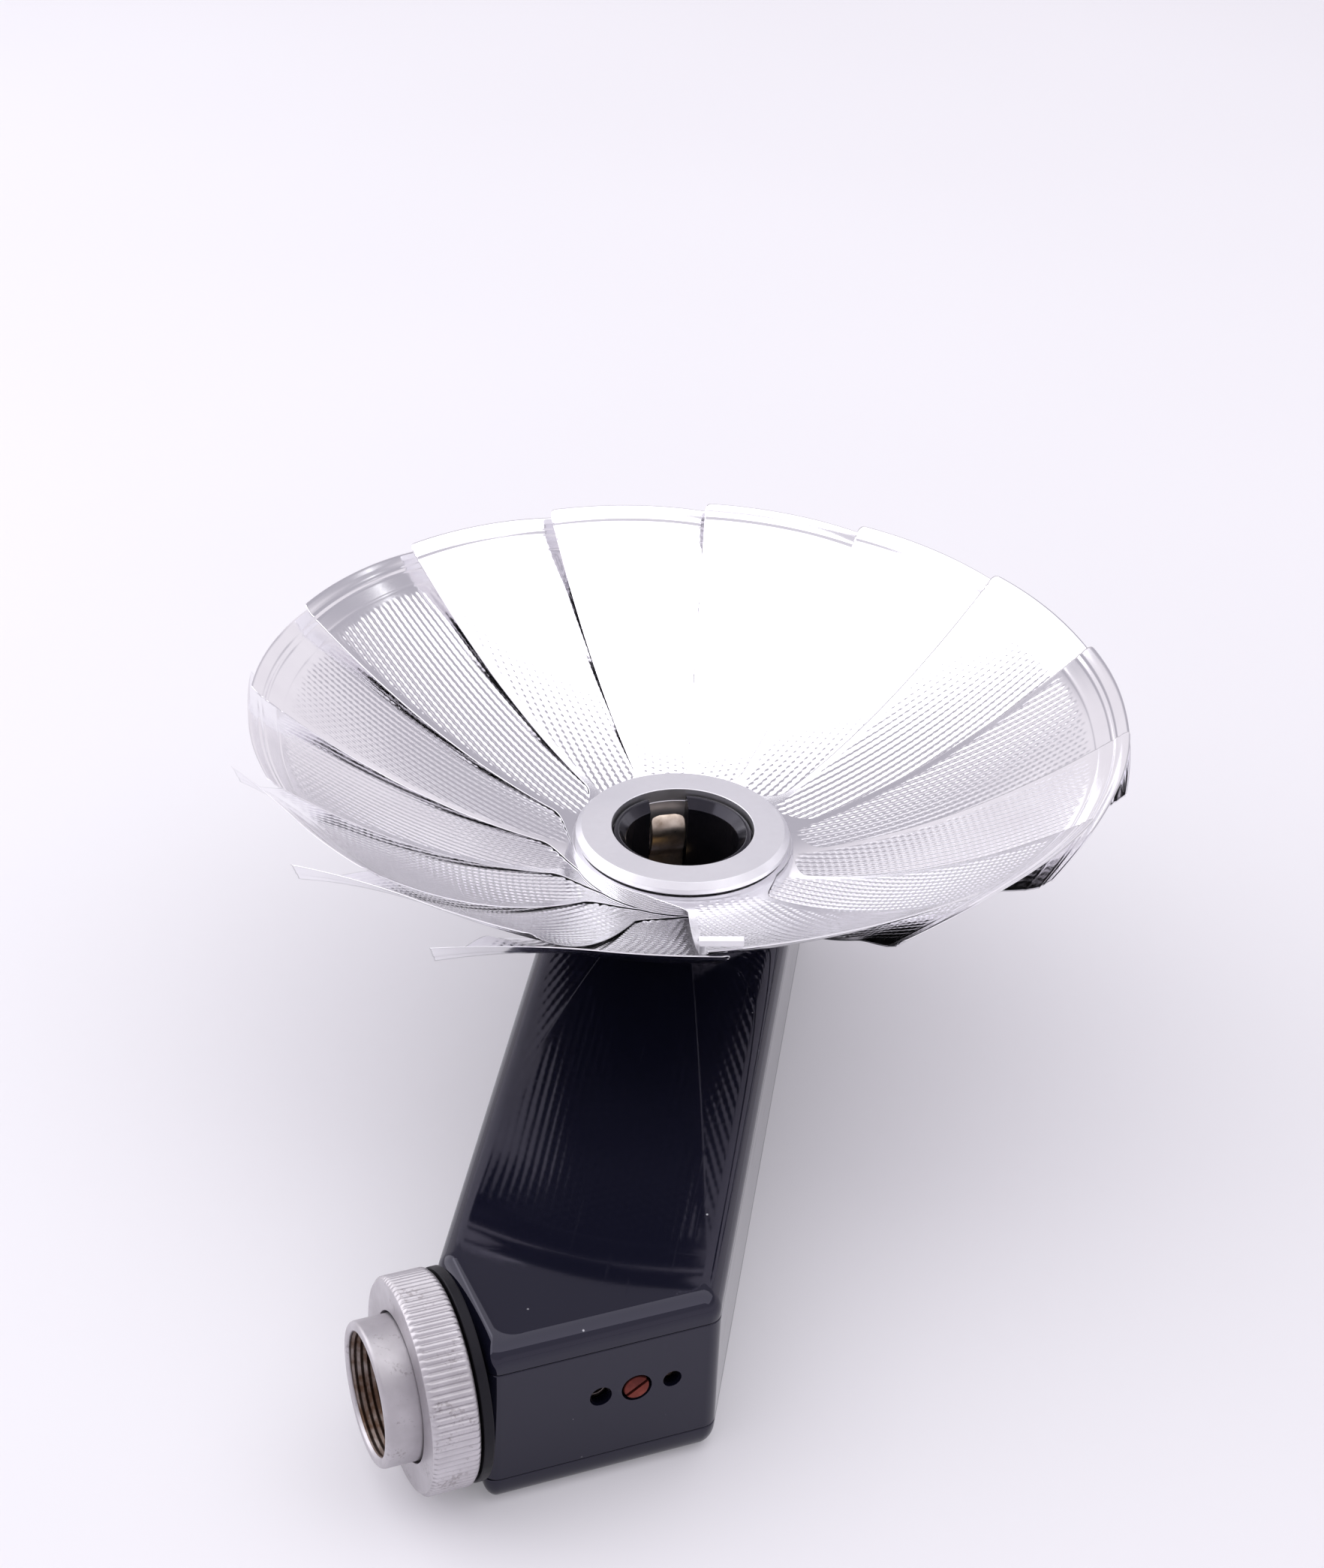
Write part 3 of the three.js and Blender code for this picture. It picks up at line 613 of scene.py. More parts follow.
def bowl_height(r):
    """Height of the bowl's curve above the blade's eyelet."""
    curve = (np.clip(r, EYELET_OUTER, CREASE_RADIUS) ** 2 - EYELET_OUTER ** 2) / (4 * FOCAL_LENGTH)
    return curve + RIM_RISE * np.clip((r - CREASE_RADIUS) / (RIM_RADIUS - CREASE_RADIUS), 0, 1)


def smooth(x, low, high):
    """A soft step from 0 at low to 1 at high."""
    t = np.clip((x - low) / (high - low), 0, 1)
    return t * t * (3 - 2 * t)


def bead(r, place, height, width=0.13):
    """A small ridge, or with a negative height a groove, that runs along the rim."""
    return height * np.exp(-((r - place) / width) ** 2)


def blade_rows():
    """Radii of a blade's rows of points, and how many of the rows lie in its eyelet's disc."""
    disc = np.array([EYELET_INNER, EYELET_INNER + 0.15, 14.0, EYELET_OUTER - 0.1, EYELET_OUTER])
    field = np.arange(EYELET_OUTER, BAND_CREASE - 0.45, 0.28)[1:]
    band = BAND_CREASE + np.array([-0.3, -0.15, 0, 0.15, 0.4, 0.9, 1.3])
    crease = CREASE_RADIUS + np.arange(-0.25, 0.9, 0.15)
    edge = RIM_RADIUS - np.array([1.0, 0.7, 0.5, 0.32, 0.18, 0.1, 0.04, 0])
    return np.concatenate([disc, field, band, crease, edge]), len(disc)


def blade_angles(radii):
    """Degrees of the points in each row: across the blade's own sector, then round the rest of the circle."""
    sweep = ROOT_SWEEP * np.clip((EYELET_OUTER + ROOT_FILLET - radii) / ROOT_FILLET, 0, 1) ** 2.2
    past = np.clip(radii - (RIM_RADIUS - RIM_CORNER), 0, RIM_CORNER)
    cut_in = np.degrees((RIM_CORNER - np.sqrt(RIM_CORNER ** 2 - past ** 2)) / radii)
    low = -BLADE_WIDTH - sweep
    high = sweep - cut_in
    sector = low[:, None] + (high - low)[:, None] * (np.arange(COLUMNS + 1) / COLUMNS)
    around = high[:, None] + (360 + low - high)[:, None] * (np.arange(1, DISC_COLUMNS) / DISC_COLUMNS)
    return np.concatenate([sector, around], axis=1)


def embossing(r, angles, outward):
    """Height of the staggered dimples, which leave a plain margin along the blade's sides."""
    radii = r[:, 0]
    length = np.concatenate([[0], np.cumsum(np.hypot(np.diff(radii), np.diff(bowl_height(radii))))])
    offset = np.radians(angles - BLADE_MIDDLE)
    u = TAU * r * np.sin(offset) / EMBOSS_PITCH
    v = TAU * length[:, None] * np.cos(offset) / EMBOSS_PITCH
    wave = RIB_HEIGHT * np.cos(u) + DIMPLE_HEIGHT * np.cos(v) * np.cos(u / 2)
    to_edge = np.radians(np.minimum(-angles, angles + BLADE_WIDTH)) * r
    patch = smooth(to_edge, EMBOSS_MARGIN - 0.25, EMBOSS_MARGIN + 0.1)
    patch *= smooth(r, EMBOSS_START, EMBOSS_START + 0.5)
    patch *= 1 - smooth(r, EMBOSS_END - 0.25, EMBOSS_END + 0.1)
    return patch * wave * (0.65 + 0.35 * outward)


def creased(height, r):
    """Adds the lines along the band and the turned-down edge of the rim."""
    height = height + bead(r, BAND_CREASE, -0.07) + bead(r, CREASE_RADIUS + 0.1, -0.13)
    height = height + bead(r, CREASE_RADIUS + 0.4, 0.08) + bead(r, CREASE_RADIUS + 0.75, -0.11)
    return height - 0.22 * np.clip((r - RIM_RADIUS + 0.4) / 0.4, 0, 1) ** 2


def bent_end(r, height, angles, flared):
    """Runs the clockwise end of the blade outward and down."""
    near = np.clip((FLARE_START - angles) / (FLARE_START + BLADE_WIDTH), 0, 1) ** 2 * (angles <= 0.5)
    near = near * flared * smooth(r, FLARE_INNER, CREASE_RADIUS)
    lip = np.clip((r - CREASE_RADIUS) / (RIM_RADIUS - CREASE_RADIUS), 0, 1)
    height = height - near * (CREASE_DROOP + (RIM_DROOP - CREASE_DROOP) * lip)
    return r + near * (CREASE_FLARE + (RIM_FLARE - CREASE_FLARE) * lip), height


def blade_grid(crown, tilt, flared):
    """Points and quads of one blade's upper face, its anticlockwise edge at angle 0."""
    radii, disc_rows = blade_rows()
    angles = blade_angles(radii)
    r = np.broadcast_to(radii[:, None], angles.shape)
    s = np.clip((angles - BLADE_MIDDLE) / (BLADE_WIDTH / 2), -1, 1)
    outward = np.clip((r - EYELET_OUTER) / (CREASE_RADIUS - EYELET_OUTER), 0, 1.05)
    height = bowl_height(r) + outward * (crown * (1 - s ** 2) + tilt / 2 * s - SINK)
    height = creased(height + embossing(r, angles, outward), r)
    r, height = bent_end(r, height, angles, flared)
    radians = np.radians(angles)
    points = np.stack([r * np.cos(radians), r * np.sin(radians), height], axis=2).reshape(-1, 3)

    count = angles.shape[1]
    quads = []
    for i in range(len(radii) - 1):
        span = np.arange(count if i < disc_rows - 1 else COLUMNS)
        ahead = (span + 1) % count
        below, above = i * count, (i + 1) * count
        quads.append(np.stack([below + span, above + span, above + ahead, below + ahead], axis=1))
    return points, np.concatenate(quads)


def thicken(points, quads, thickness):
    """A closed sheet: the given face, a copy below it, and a wall along every open edge."""
    used = np.unique(quads)
    renumber = np.full(len(points), -1)
    renumber[used] = np.arange(len(used))
    points = points[used]
    quads = renumber[quads]
    count = len(points)
    edges = np.concatenate([quads[:, [i, (i + 1) % 4]] for i in range(4)])
    _, first, times = np.unique(np.sort(edges, axis=1), axis=0, return_index=True, return_counts=True)
    rim = edges[first[times == 1]]
    walls = np.stack([rim[:, 1], rim[:, 0], rim[:, 0] + count, rim[:, 1] + count], axis=1)
    below = points - np.array((0, 0, thickness))
    return np.concatenate([points, below]), np.concatenate([quads, quads[:, ::-1] + count, walls])


def blade_place(k):
    """The place of blade k in the open fan, with its anticlockwise edge turned to its angle."""
    edge = math.radians(FIRST_EDGE - BLADE_PITCH * (k - 1))
    return moved(0, 0, STACK_BASE + STACK_PITCH * (k - 1)) @ about_z(edge)


def bent_out(k):
    """How much of the full flare a blade's clockwise end has: the blades of the right side stand out less."""
    if k == BLADES:
        return 0.0
    return 1.0 if k <= LAST_FULL_FLARE else SMALL_FLARE


def fan_blades():
    rng = np.random.default_rng(7)
    for k in range(1, BLADES + 1):
        crown, tilt = np.array((CROWN, TILT)) * rng.uniform(0.96, 1.04, 2)
        points, quads = blade_grid(crown, tilt, bent_out(k))
        shape = thicken(points + np.array((0, 0, SHEET)), quads, SHEET)
        node = f"blade_{k:02d}"
        blade = add_mesh(f"fan_{node}", shape, REFLECTOR, blade_place(k), weighted=False)
        body = {1: "gun_body", BLADES: "front_blade"}.get(k, node)
        settle(blade, "reflector", node, body=body)


def fan_latch():
    """The bracket folded over the front blade's rim, with the tab that the fan is pulled open by."""
    thickness = 0.25
    outer = RIM_RADIUS + 0.55
    inner = (RIM_RADIUS - 1.65, RIM_HEIGHT - 1.05)
    fold = (RIM_RADIUS + 0.1, RIM_HEIGHT + 0.55)
    turn = (outer, RIM_HEIGHT + 0.4)
    plate = strip([inner, fold, turn, (outer, RIM_HEIGHT - 0.3)], thickness, 5.2)
    tab = strip([fold, turn, (outer, RIM_HEIGHT - 1.3)], thickness, 0.8)
    place = blade_place(BLADES) @ about_z(math.radians(-BLADE_WIDTH - 0.7))
    latch = add_mesh("fan_latch_bracket", plate, SATIN_PLAIN, place @ about_z(math.radians(2.15)))
    carve(latch, [cutter(tab, place)], "UNION")
    soften(latch, 0.06)
    settle(latch, "satin_aluminium", "fan_latch", body="front_blade")


fan_blades()
fan_latch()


# ---------- hub and bulb socket ----------
def hub():
    ring = add_mesh("hub_front_ring", lathe(rounded([
        (OPENING_RADIUS, 27.2, 0.1), (14.2, 27.2, 0.1), (HUB_RADIUS, 27.55, 0.1), (HUB_RADIUS, 28.2, 0.06),
        (13.8, OPENING_HEIGHT, 0.06), (OPENING_RADIUS, OPENING_HEIGHT, 0.12)]), 160), SATIN)
    settle(ring, "satin_aluminium", "hub_ring")
    tube_profile = ring_profile(OPENING_RADIUS, SLEEVE_RADIUS, 16, 27.1)
    sleeve = add_mesh("hub_tube", lathe(tube_profile, 96), SATIN_PLAIN)
    settle(sleeve, "satin_aluminium", "hub_sleeve")
    nut = add_mesh("hub_lock_nut", lathe(ring_profile(10.8, 13.4, 18.1, 20.9, 0.3), 96, nut_shape), BRASS)
    settle(nut, "brass", "hub_nut")
    seat = add_mesh("fan_seat_ring", lathe(ring_profile(EYELET_INNER, 14.2, 22.65, 23.6, 0.15), 128), SATIN)
    settle(seat, "satin_aluminium", "fan_seat")
    washer_profile = ring_profile(EYELET_INNER, 14, 23.78, 23.92, 0.05)
    washer = add_mesh("fan_wave_washer", lathe(washer_profile, 128), STEEL)
    for vertex in washer.data.vertices:
        vertex.co.z += 0.07 * MM * math.sin(3 * math.atan2(vertex.co.y, vertex.co.x))
    settle(washer, "spring_steel", "fan_spring_washer")


def nut_shape(r, z, theta):
    """Four spanner notches round the nut."""
    notch = abs(math.sin(2 * theta)) < 0.12 and r > 12.5
    return r - 0.9 if notch else r


def socket():
    skirt = 8.3
    body = add_mesh("socket_moulding", lathe(rounded([
        (2.5, SOCKET_FLOOR - 1, 0.1), (SOCKET_RADIUS, SOCKET_FLOOR - 1, 0.1), (SOCKET_RADIUS, skirt, 0.1),
        (LINER_RADIUS, skirt, 0.1), (LINER_RADIUS, 28.2, 0.35), (8.75, 28.35, 0.25),
        (SOCKET_RADIUS, 27.0, 0.3), (SOCKET_RADIUS, SOCKET_FLOOR, 0.2),
        (2.5, SOCKET_FLOOR, 0.15)]), 144), BAKELITE)
    contact_slot = cutter(slab(rectangle(6, 10, -2.7, 2.7, 0.3), 9.6, 30, 0.05), about_z(CONTACT_ANGLE))
    pin_slot = cutter(slab(rectangle(6, 8.9, -1, 1, 0.3), 20.5, 30, 0.05), about_z(CONTACT_ANGLE - math.pi))
    rocker_slot = cutter(slab(rectangle(-2.7, 2.7, -10, -6.5, 0.3), 7, SOCKET_FLOOR - 1.1, 0.05))
    eject_hole = cutter(lathe([(0, 12), (1.15, 12), (1.15, 15), (0, 15)], 32), moved(0, EJECT_PIN_Y, 0))
    carve(body, [contact_slot, pin_slot, rocker_slot, eject_hole])
    soften(body, 0.12)
    settle(body, "bakelite", "socket_liner")

    path = curve_points([(8.6, 9.9), (8.6, 18.5), (8.25, 19.6), (7.6, 20.8), (7.2, 22.6), (7.25, 23.8),
                         (7.75, 24.9), (8.4, 25.6)], 6)
    tab = add_mesh("bulb_side_spring", strip(path, 0.45, 4.9, end_round=1.1), BRONZE, about_z(CONTACT_ANGLE))
    soften(tab, 0.06)
    settle(tab, "bronze", "bulb_side_contact")

    dome = [(0, 5.5, 0), (0.9, 5.5, 0.1), (0.9, 11.2, 0.05), (2.9, 11.2, 0.1), (2.9, 12.7, 0.1),
            (2.1, 12.7, 0.05), (2.1, 15.2, 0.3), (1.6, 16, 0.4), (0.8, 16.4, 0.5), (0, 16.5, 0)]
    centre = add_mesh("bulb_centre_plunger", lathe(rounded(dome), 64), BRASS)
    settle(centre, "brass", "bulb_centre_contact", body="centre_contact")
    spring = add_mesh("centre_contact_coil", tube(coil_path(1.9, 8.35, 10.85, 4), 0.22), STEEL)
    settle(spring, "spring_steel", "centre_contact_spring")
    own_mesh(spring)


hub()
socket()

# ---------- casing ----------
RIGHT_FOOT_Y = LOWEST_CORNER[1] + math.tan(FOOT_SLOPE) * (HALF_WIDTH - LOWEST_CORNER[0])
LEFT_FOOT_Y = LOWEST_CORNER[1] + (HALF_WIDTH + LOWEST_CORNER[0]) / math.tan(FOOT_SLOPE)
BODY = [(-HALF_WIDTH, BODY_TOP, 7), (-HALF_WIDTH, LEFT_FOOT_Y, 3), (*LOWEST_CORNER, 1.6),
        (HALF_WIDTH, RIGHT_FOOT_Y, 2.2), (HALF_WIDTH, BODY_TOP, 7)]
CONNECTOR_AT = Vector(((LOWEST_CORNER[0] - HALF_WIDTH) / 2, (LOWEST_CORNER[1] + LEFT_FOOT_Y) / 2,
                       CONNECTOR_HEIGHT))
CONNECTOR_OUT = Vector((-math.cos(FOOT_SLOPE), -math.sin(FOOT_SLOPE), 0))
CONNECTOR = Matrix.Translation(CONNECTOR_AT) @ CONNECTOR_OUT.to_track_quat("Z", "Y").to_matrix().to_4x4()


def outlet_place(step):
    """A place on the foot, step pitches along it, with +Z out of the wall and +Y up."""
    along = OUTLET_FIRST + OUTLET_PITCH * step
    out = Vector((math.sin(FOOT_SLOPE), -math.cos(FOOT_SLOPE), 0))
    side = Vector((math.cos(FOOT_SLOPE), math.sin(FOOT_SLOPE), 0))
    turn = Matrix((side, (0, 0, 1), out)).transposed().to_4x4()
    at = Vector((LOWEST_CORNER[0], LOWEST_CORNER[1], OUTLET_HEIGHT)) + side * along
    return Matrix.Translation(at) @ turn


def casing():
    inner_top = BODY_DEPTH - FACE_THICKNESS
    bevel = []
    for a in np.linspace(0, math.pi / 2, 11):
        inset = COVER_BEVEL * (1 - math.cos(a)) ** 1.05
        rise = (BODY_DEPTH - COVER_SEAM - 0.95) * math.sin(a)
        bevel.append(corner_ring(BODY, inset, COVER_SEAM + 0.95 + rise, 2.4 * (a / (math.pi / 2)) ** 2))
    cover = add_mesh("cover_shell", loft([
        corner_ring(BODY, COVER_BEVEL + 0.4, inner_top), corner_ring(BODY, WALL, inner_top - 1),
        corner_ring(BODY, WALL, COVER_SEAM), corner_ring(BODY, 0.1, COVER_SEAM),
        corner_ring(BODY, 0, COVER_SEAM + 0.1), *bevel]), ENAMEL)
    carve(cover, [hole(SLEEVE_RADIUS + HUB_HOLE_GAP, inner_top - 2, BODY_DEPTH + 1),
                  hole(BUTTON_HOLE_RADIUS, inner_top - 2, BODY_DEPTH + 1, moved(*BUTTON, 0))])
    soften(cover, 0.1)
    settle(cover, "gloss_black", "front_cover", "front_cover_frame")

    bottom, top = BACK_SEAM + SEAM_GAP, COVER_SEAM - SEAM_GAP
    walls = add_mesh("side_walls", loft([
        corner_ring(BODY, 0.1, bottom), corner_ring(BODY, 0, bottom + 0.1), corner_ring(BODY, 0, top - 0.1),
        corner_ring(BODY, 0.1, top), corner_ring(BODY, WALL, top), corner_ring(BODY, WALL, bottom)],
        capped=False), ENAMEL)
    carve(walls, [hole(5.3, -3, 1, CONNECTOR)]
          + [hole(r, -3, 1, outlet_place(i)) for i, r in enumerate(OUTLET_HOLES)])
    soften(walls, 0.08)
    settle(walls, "gloss_black", "body_shell")
    back_tray()


DOOR_HALF = 13.3
DOOR_LOWER = -79.1
DOOR_HINGE = (-25.6, 1.3)


def back_tray():
    """The back of the casing, with the door's opening and hinge lugs."""
    round_up = [corner_ring(BODY, 2.2 * (1 - math.sin(a)), 3.0 * (1 - math.cos(a)))
                for a in np.linspace(math.pi / 2, 0, 8)]
    tray = add_mesh("back_tray", loft([
        corner_ring(BODY, WALL, FACE_THICKNESS), corner_ring(BODY, WALL, BACK_SEAM),
        corner_ring(BODY, 0.1, BACK_SEAM), corner_ring(BODY, 0, BACK_SEAM - 0.1), *round_up]), ENAMEL)
    y, z = DOOR_HINGE
    lugs = []
    for side in (-1, 1):
        inner, outer = sorted((side * (DOOR_HALF + 0.4), side * (DOOR_HALF + 1.5)))
        lugs.append(cutter(slab(rectangle(inner, outer, y - 1.4, y + 1.4, 0.2), 0.6, 2.7, 0.1)))
    carve(tray, lugs, "UNION")
    gap = 0.35
    outline = rectangle(-DOOR_HALF - gap, DOOR_HALF + gap, DOOR_LOWER - gap, y + 1.4 + gap, 0.4)
    opening = cutter(slab(outline, -1, 2, 0.05))
    bore = hole(0.75, -DOOR_HALF - 1.1, DOOR_HALF + 1.1, along_x(y, z))
    carve(tray, [opening, bore])
    soften(tray, 0.08)
    settle(tray, "gloss_black", "back_shell")


def battery_door():
    y, z = DOOR_HINGE
    bottom, top = 0.25, 1.35
    door = add_mesh("battery_door_panel", slab(
        rectangle(-DOOR_HALF, DOOR_HALF, DOOR_LOWER, y, 0.7), bottom, top, 0.25), ENAMEL)
    roll = rounded([(0, -DOOR_HALF, 0), (1.05, -DOOR_HALF, 0.15), (1.05, DOOR_HALF, 0.15), (0, DOOR_HALF, 0)])
    knuckle = cutter(turned(lathe(roll, 48), along_x(y, z)))
    snap_outline = rectangle(-5, 5, DOOR_LOWER + 0.05, DOOR_LOWER + 0.9, 0.2)
    snap = cutter(slab(snap_outline, top - 0.2, top + 1.2, 0.15))
    carve(door, [knuckle, snap], "UNION")
    notch = cutter(slab(rectangle(-5, 5, DOOR_LOWER - 1, DOOR_LOWER + 1.6, 0.8), -1, bottom + 0.5, 0.1))
    ribs = [cutter(slab(rectangle(-4.6, 4.6, DOOR_LOWER + 3.2 + 1.1 * i, DOOR_LOWER + 3.7 + 1.1 * i, 0.24),
                        -1, bottom + 0.28, 0.05)) for i in range(5)]
    bore = hole(0.65, -DOOR_HALF - 1, DOOR_HALF + 1, along_x(y, z))
    carve(door, [notch, bore, *ribs])
    soften(door, 0.08)
    settle(door, "gloss_black", "battery_door", body="battery_cover")
    pin = add_mesh("door_hinge_wire", turned(lathe(rounded([
        (0, -14.2, 0), (0.4, -14.2, 0.15), (0.4, 14.2, 0.15), (0, 14.2, 0)]), 32), along_x(y, z)), STEEL)
    settle(pin, "spring_steel", "door_hinge_pin")


casing()
battery_door()


# ---------- camera connector ----------
KNURLS = 92
KNURL_DEPTH = 0.27
RING_RADIUS = 12.4
RING_CHAMFER = 11.95  # radius of its ends
RING_ENDS = (1.8, 7.3)
THREAD_PITCH = 0.75
THREAD_RADIUS = 7.1


def knurled(r, z, theta):
    """Straight round ridges on the ring's outside, fading at both chamfers."""
    if r < RING_CHAMFER - 0.05:
        return r
    low, high = RING_ENDS
    fade = min(1.0, max(0.0, (z - low - 0.15) / 0.3), max(0.0, (high - 0.15 - z) / 0.3))
    return r - KNURL_DEPTH * fade * (1 - abs(math.sin(KNURLS * theta / 2)) ** 0.75)


def threaded(r, z, theta):
    """A fine screw thread in the sleeve's bore."""
    if r > THREAD_RADIUS + 0.2 or not 3.6 < z < 10.9:
        return r
    phase = (z / THREAD_PITCH - theta / TAU) % 1
    return r - 0.14 + 0.28 * abs(2 * phase - 1)


def turned_piece(name, profile, segments, material, body, slot, node, shape=None):
    """A piece turned about the connector's axis and settled."""
    piece = add_mesh(name, lathe(profile, segments, shape), material, CONNECTOR)
    return settle(piece, slot, node, body=body)


def connector():
    turned_piece("connector_disc", ring_profile(5.2, 12.2, 0.3, 1.5, 0.2), 128, MATT_BLACK,
                 "gun_body", "matt_black", "connector_collar")
    low, high = RING_ENDS
    ring = rounded([(8.6, low, 0.1), (RING_CHAMFER, low, 0.15),
                    *((RING_RADIUS, z, 0) for z in (2.25, 2.6, 4.5, 6.5, 6.85)),
                    (RING_CHAMFER, high, 0.15), (8.6, high, 0.1)])
    turned_piece("knurled_ring", ring, KNURLS * 8, SATIN_SHADE_AND_GRIME, "lock_ring", "satin_aluminium", "locking_ring",
                 knurled)
    bore = [(THREAD_RADIUS, z) for z in np.arange(10.9, 3.5, -0.09)]
    sleeve = [(5.3, 1.9), (8.2, 1.9), (8.3, 2.0), (8.3, 7.5), (8.3, 10.85), (8.22, 11.12), (8.05, 11.28),
              (7.9, 11.3), (7.35, 11.3), (7.2, 11.2), *bore, (THREAD_RADIUS, 3.1), (5.3, 3.1)]
    piece = turned_piece("sleeve_with_thread", sleeve, 144, SATIN_SHADE_AND_GRIME, "lock_ring", "satin_aluminium",
                         "threaded_sleeve", threaded)
    # the bore shows worn brass
    piece.data.materials.append(OLD_BRASS)
    to_connector = CONNECTOR.inverted()
    for polygon in piece.data.polygons:
        centre = to_connector @ (polygon.center / MM)
        in_bore = math.hypot(centre.x, centre.y) < 7.3 and centre.z < 11
        polygon.material_index = int(in_bore)
    core = rounded([(3.6, -4.5, 0.1), (4.9, -4.5, 0.2), (4.9, 3.4, 0), (6.8, 3.4, 0.1), (6.8, 4.4, 0.15),
                    (4.9, 4.4, 0), (4.9, 6.4, 0.2), (3.6, 6.4, 0.15)])
    turned_piece("connector_tube", core, 96, OLD_BRASS, "gun_body", "brass", "connector_core")
    insulator = rounded([(1.3, -4.5, 0.1), (3.3, -4.5, 0.2), (3.3, 6.1, 0.15), (2.2, 6.1, 0.1),
                         (2.2, 3, 0.05), (1.3, 3, 0.05)])
    turned_piece("connector_bush", insulator, 72, BAKELITE, "gun_body", "bakelite", "connector_insulator")
    pin = rounded([(0, -5.6, 0), (1.8, -5.6, 0.2), (1.8, -4.8, 0.1), (1, -4.8, 0.05), (1, 6.4, 0.05),
                   (1.8, 6.4, 0.1), (1.8, 6.9, 0.25), (1.2, 7.3, 0.5), (0, 7.45, 0)])
    turned_piece("connector_plunger", pin, 64, PALE_CONTACT, "camera_contact", "bronze", "connector_pin")
    spring = add_mesh("connector_coil", tube(coil_path(1.55, 3.3, 6.1, 4), 0.17), STEEL, CONNECTOR)
    settle(spring, "spring_steel", "connector_pin_spring")
    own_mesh(spring)


connector()


# ---------- extension outlet in the foot ----------
def outlet():
    places = [outlet_place(i) for i in range(3)]
    block_shape = slab(rectangle(-6.8, 6.8, -3.4, 3.4, 0.8), -7.6, -1.8, 0.25)
    block = add_mesh("outlet_moulding", block_shape, BAKELITE, places[1])
    carve(block, [hole(radius, -10, 0, place) for radius, place in zip((2.1, 1.4, 2.1), places)])
    soften(block, 0.08)
    settle(block, "bakelite", "outlet_block")

    head = rounded([(0, -6.5, 0), (1, -6.5, 0.2), (1, -1.2, 0), (1.5, -0.7, 0.1), (1.5, 0.05, 0.16),
                    (0, 0.05, 0)])
    screw = add_mesh("outlet_slotted_screw", lathe(head, 64), COPPER, places[1])
    slot = slab(rectangle(-2, 2, -0.2, 0.2, 0.1), -0.5, 1, 0.02)
    carve(screw, [cutter(slot, places[1] @ about_z(math.radians(33)))])
    soften(screw, 0.03)
    settle(screw, "copper_screw", "outlet_screw")
    for name, node, inner, place in (("outlet_tube_left", "outlet_sleeve_left", 1.2, places[0]),
                                     ("outlet_tube_right", "outlet_sleeve_right", 1.1, places[2])):
        piece = add_mesh(name, lathe(ring_profile(inner, 1.75, -8.2, -1.9, 0.1), 48), OLD_BRASS, place)
        settle(piece, "brass", node)


outlet()


# ---------- bulb ejector ----------
def ejector():
    x, y = BUTTON
    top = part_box("eject_button")[1].z / MM
    profile = rounded([(0, 11.5, 0), (1.1, 11.5, 0.2), (1.1, 20.3, 0.05), (3.2, 20.3, 0.1), (3.2, 21.1, 0.1),
                       (BUTTON_RADIUS, 21.1, 0.05), (BUTTON_RADIUS, top, 0.3), (1.9, top, 0.1),
                       (1.5, top - 0.15, 0.2),
                       (0, top - 0.2, 0)])
    button = add_mesh("eject_press_button", turned(lathe(profile, 72), moved(x, y, 0)), ENAMEL)
    settle(button, "gloss_black", "eject_button", body="ejector_button")
    spring = add_mesh("eject_coil", turned(tube(coil_path(1.9, 17.0, 20.0, 4), 0.22), moved(x, y, 0)), STEEL)
    settle(spring, "spring_steel", "eject_spring")
    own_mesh(spring)
    pin = rounded([(0, 11.3, 0), (1.5, 11.3, 0.1), (1.5, 11.7, 0.1), (0.8, 11.7, 0.05), (0.8, 15, 0.2),
                   (0, 15.3, 0)])
    lifter = add_mesh("eject_lift_pin", turned(lathe(pin, 48), moved(0, EJECT_PIN_Y, 0)), BRASS)
    settle(lifter, "brass", "eject_pin", body="ejector_pin")


ejector()


# ---------- parts inside the casing ----------
def battery():
    low, high = (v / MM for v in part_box("battery"))
    case = add_mesh("battery_block", turned(slab(
        rectangle(low.x, high.x, low.z, high.z, 2.2), -high.y + 0.8, -low.y - 0.8, 0.9, 5),
        Matrix.Rotation(math.pi / 2, 4, "X")), CARD)
    settle(case, "battery_wrap", "battery")
    place = moved(0, 0, (low.z + high.z) / 2) @ Matrix.Rotation(-math.pi / 2, 4, "X")
    for name, y in (("battery_cap_upper", high.y - 0.8), ("battery_cap_lower", low.y)):
        profile = rounded([(0, y, 0), (4.4, y, 0.2), (4.4, y + 0.8, 0.3), (0, y + 0.8, 0)])
        cap = add_mesh(name, lathe(profile, 64), BRASS, place)
        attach(cap, "gun_body")


def capacitor():
    can = rounded([(0, -12, 0), (4.2, -12, 0.3), (4.6, -11.5, 0.3), (4.6, -9.6, 0.2), (4.25, -9.2, 0.3),
                   (4.6, -8.8, 0.2), (4.6, 11.5, 0.4), (4.2, 12, 0.3), (0, 12, 0)])
    piece = add_mesh("capacitor_can", turned(lathe(can, 96), along_x(17, 8.4)), SATIN_PLAIN)
    settle(piece, "reflector", "capacitor")


def leads():
    routes = {
        "lead_left": [(-10, -9, 9), (-12.5, -16, 10), (-13.8, -24, 11), (-13.8, -50, 11), (-13.8, -74, 11),
                      (-12, -79, 9), (-5, -81, 7.5)],
        "lead_right": [(10, -9, 9), (12.5, -16, 10), (13.8, -24, 11), (13.8, -50, 11), (13.8, -74, 11),
                       (13, -79, 9), (11.5, -81.5, 6.5)],
        "lead_connector": [(-5.2, -88.2, 12.6), (-4, -87.2, 12), (-2, -85.2, 9), (-1, -83.5, 6.6)],
    }
    for node, route in routes.items():
        wire = add_mesh(node + "_wire", tube(curve_points(route, 6), 0.5, 12), RUBBER)
        settle(wire, "lead_rubber", node)


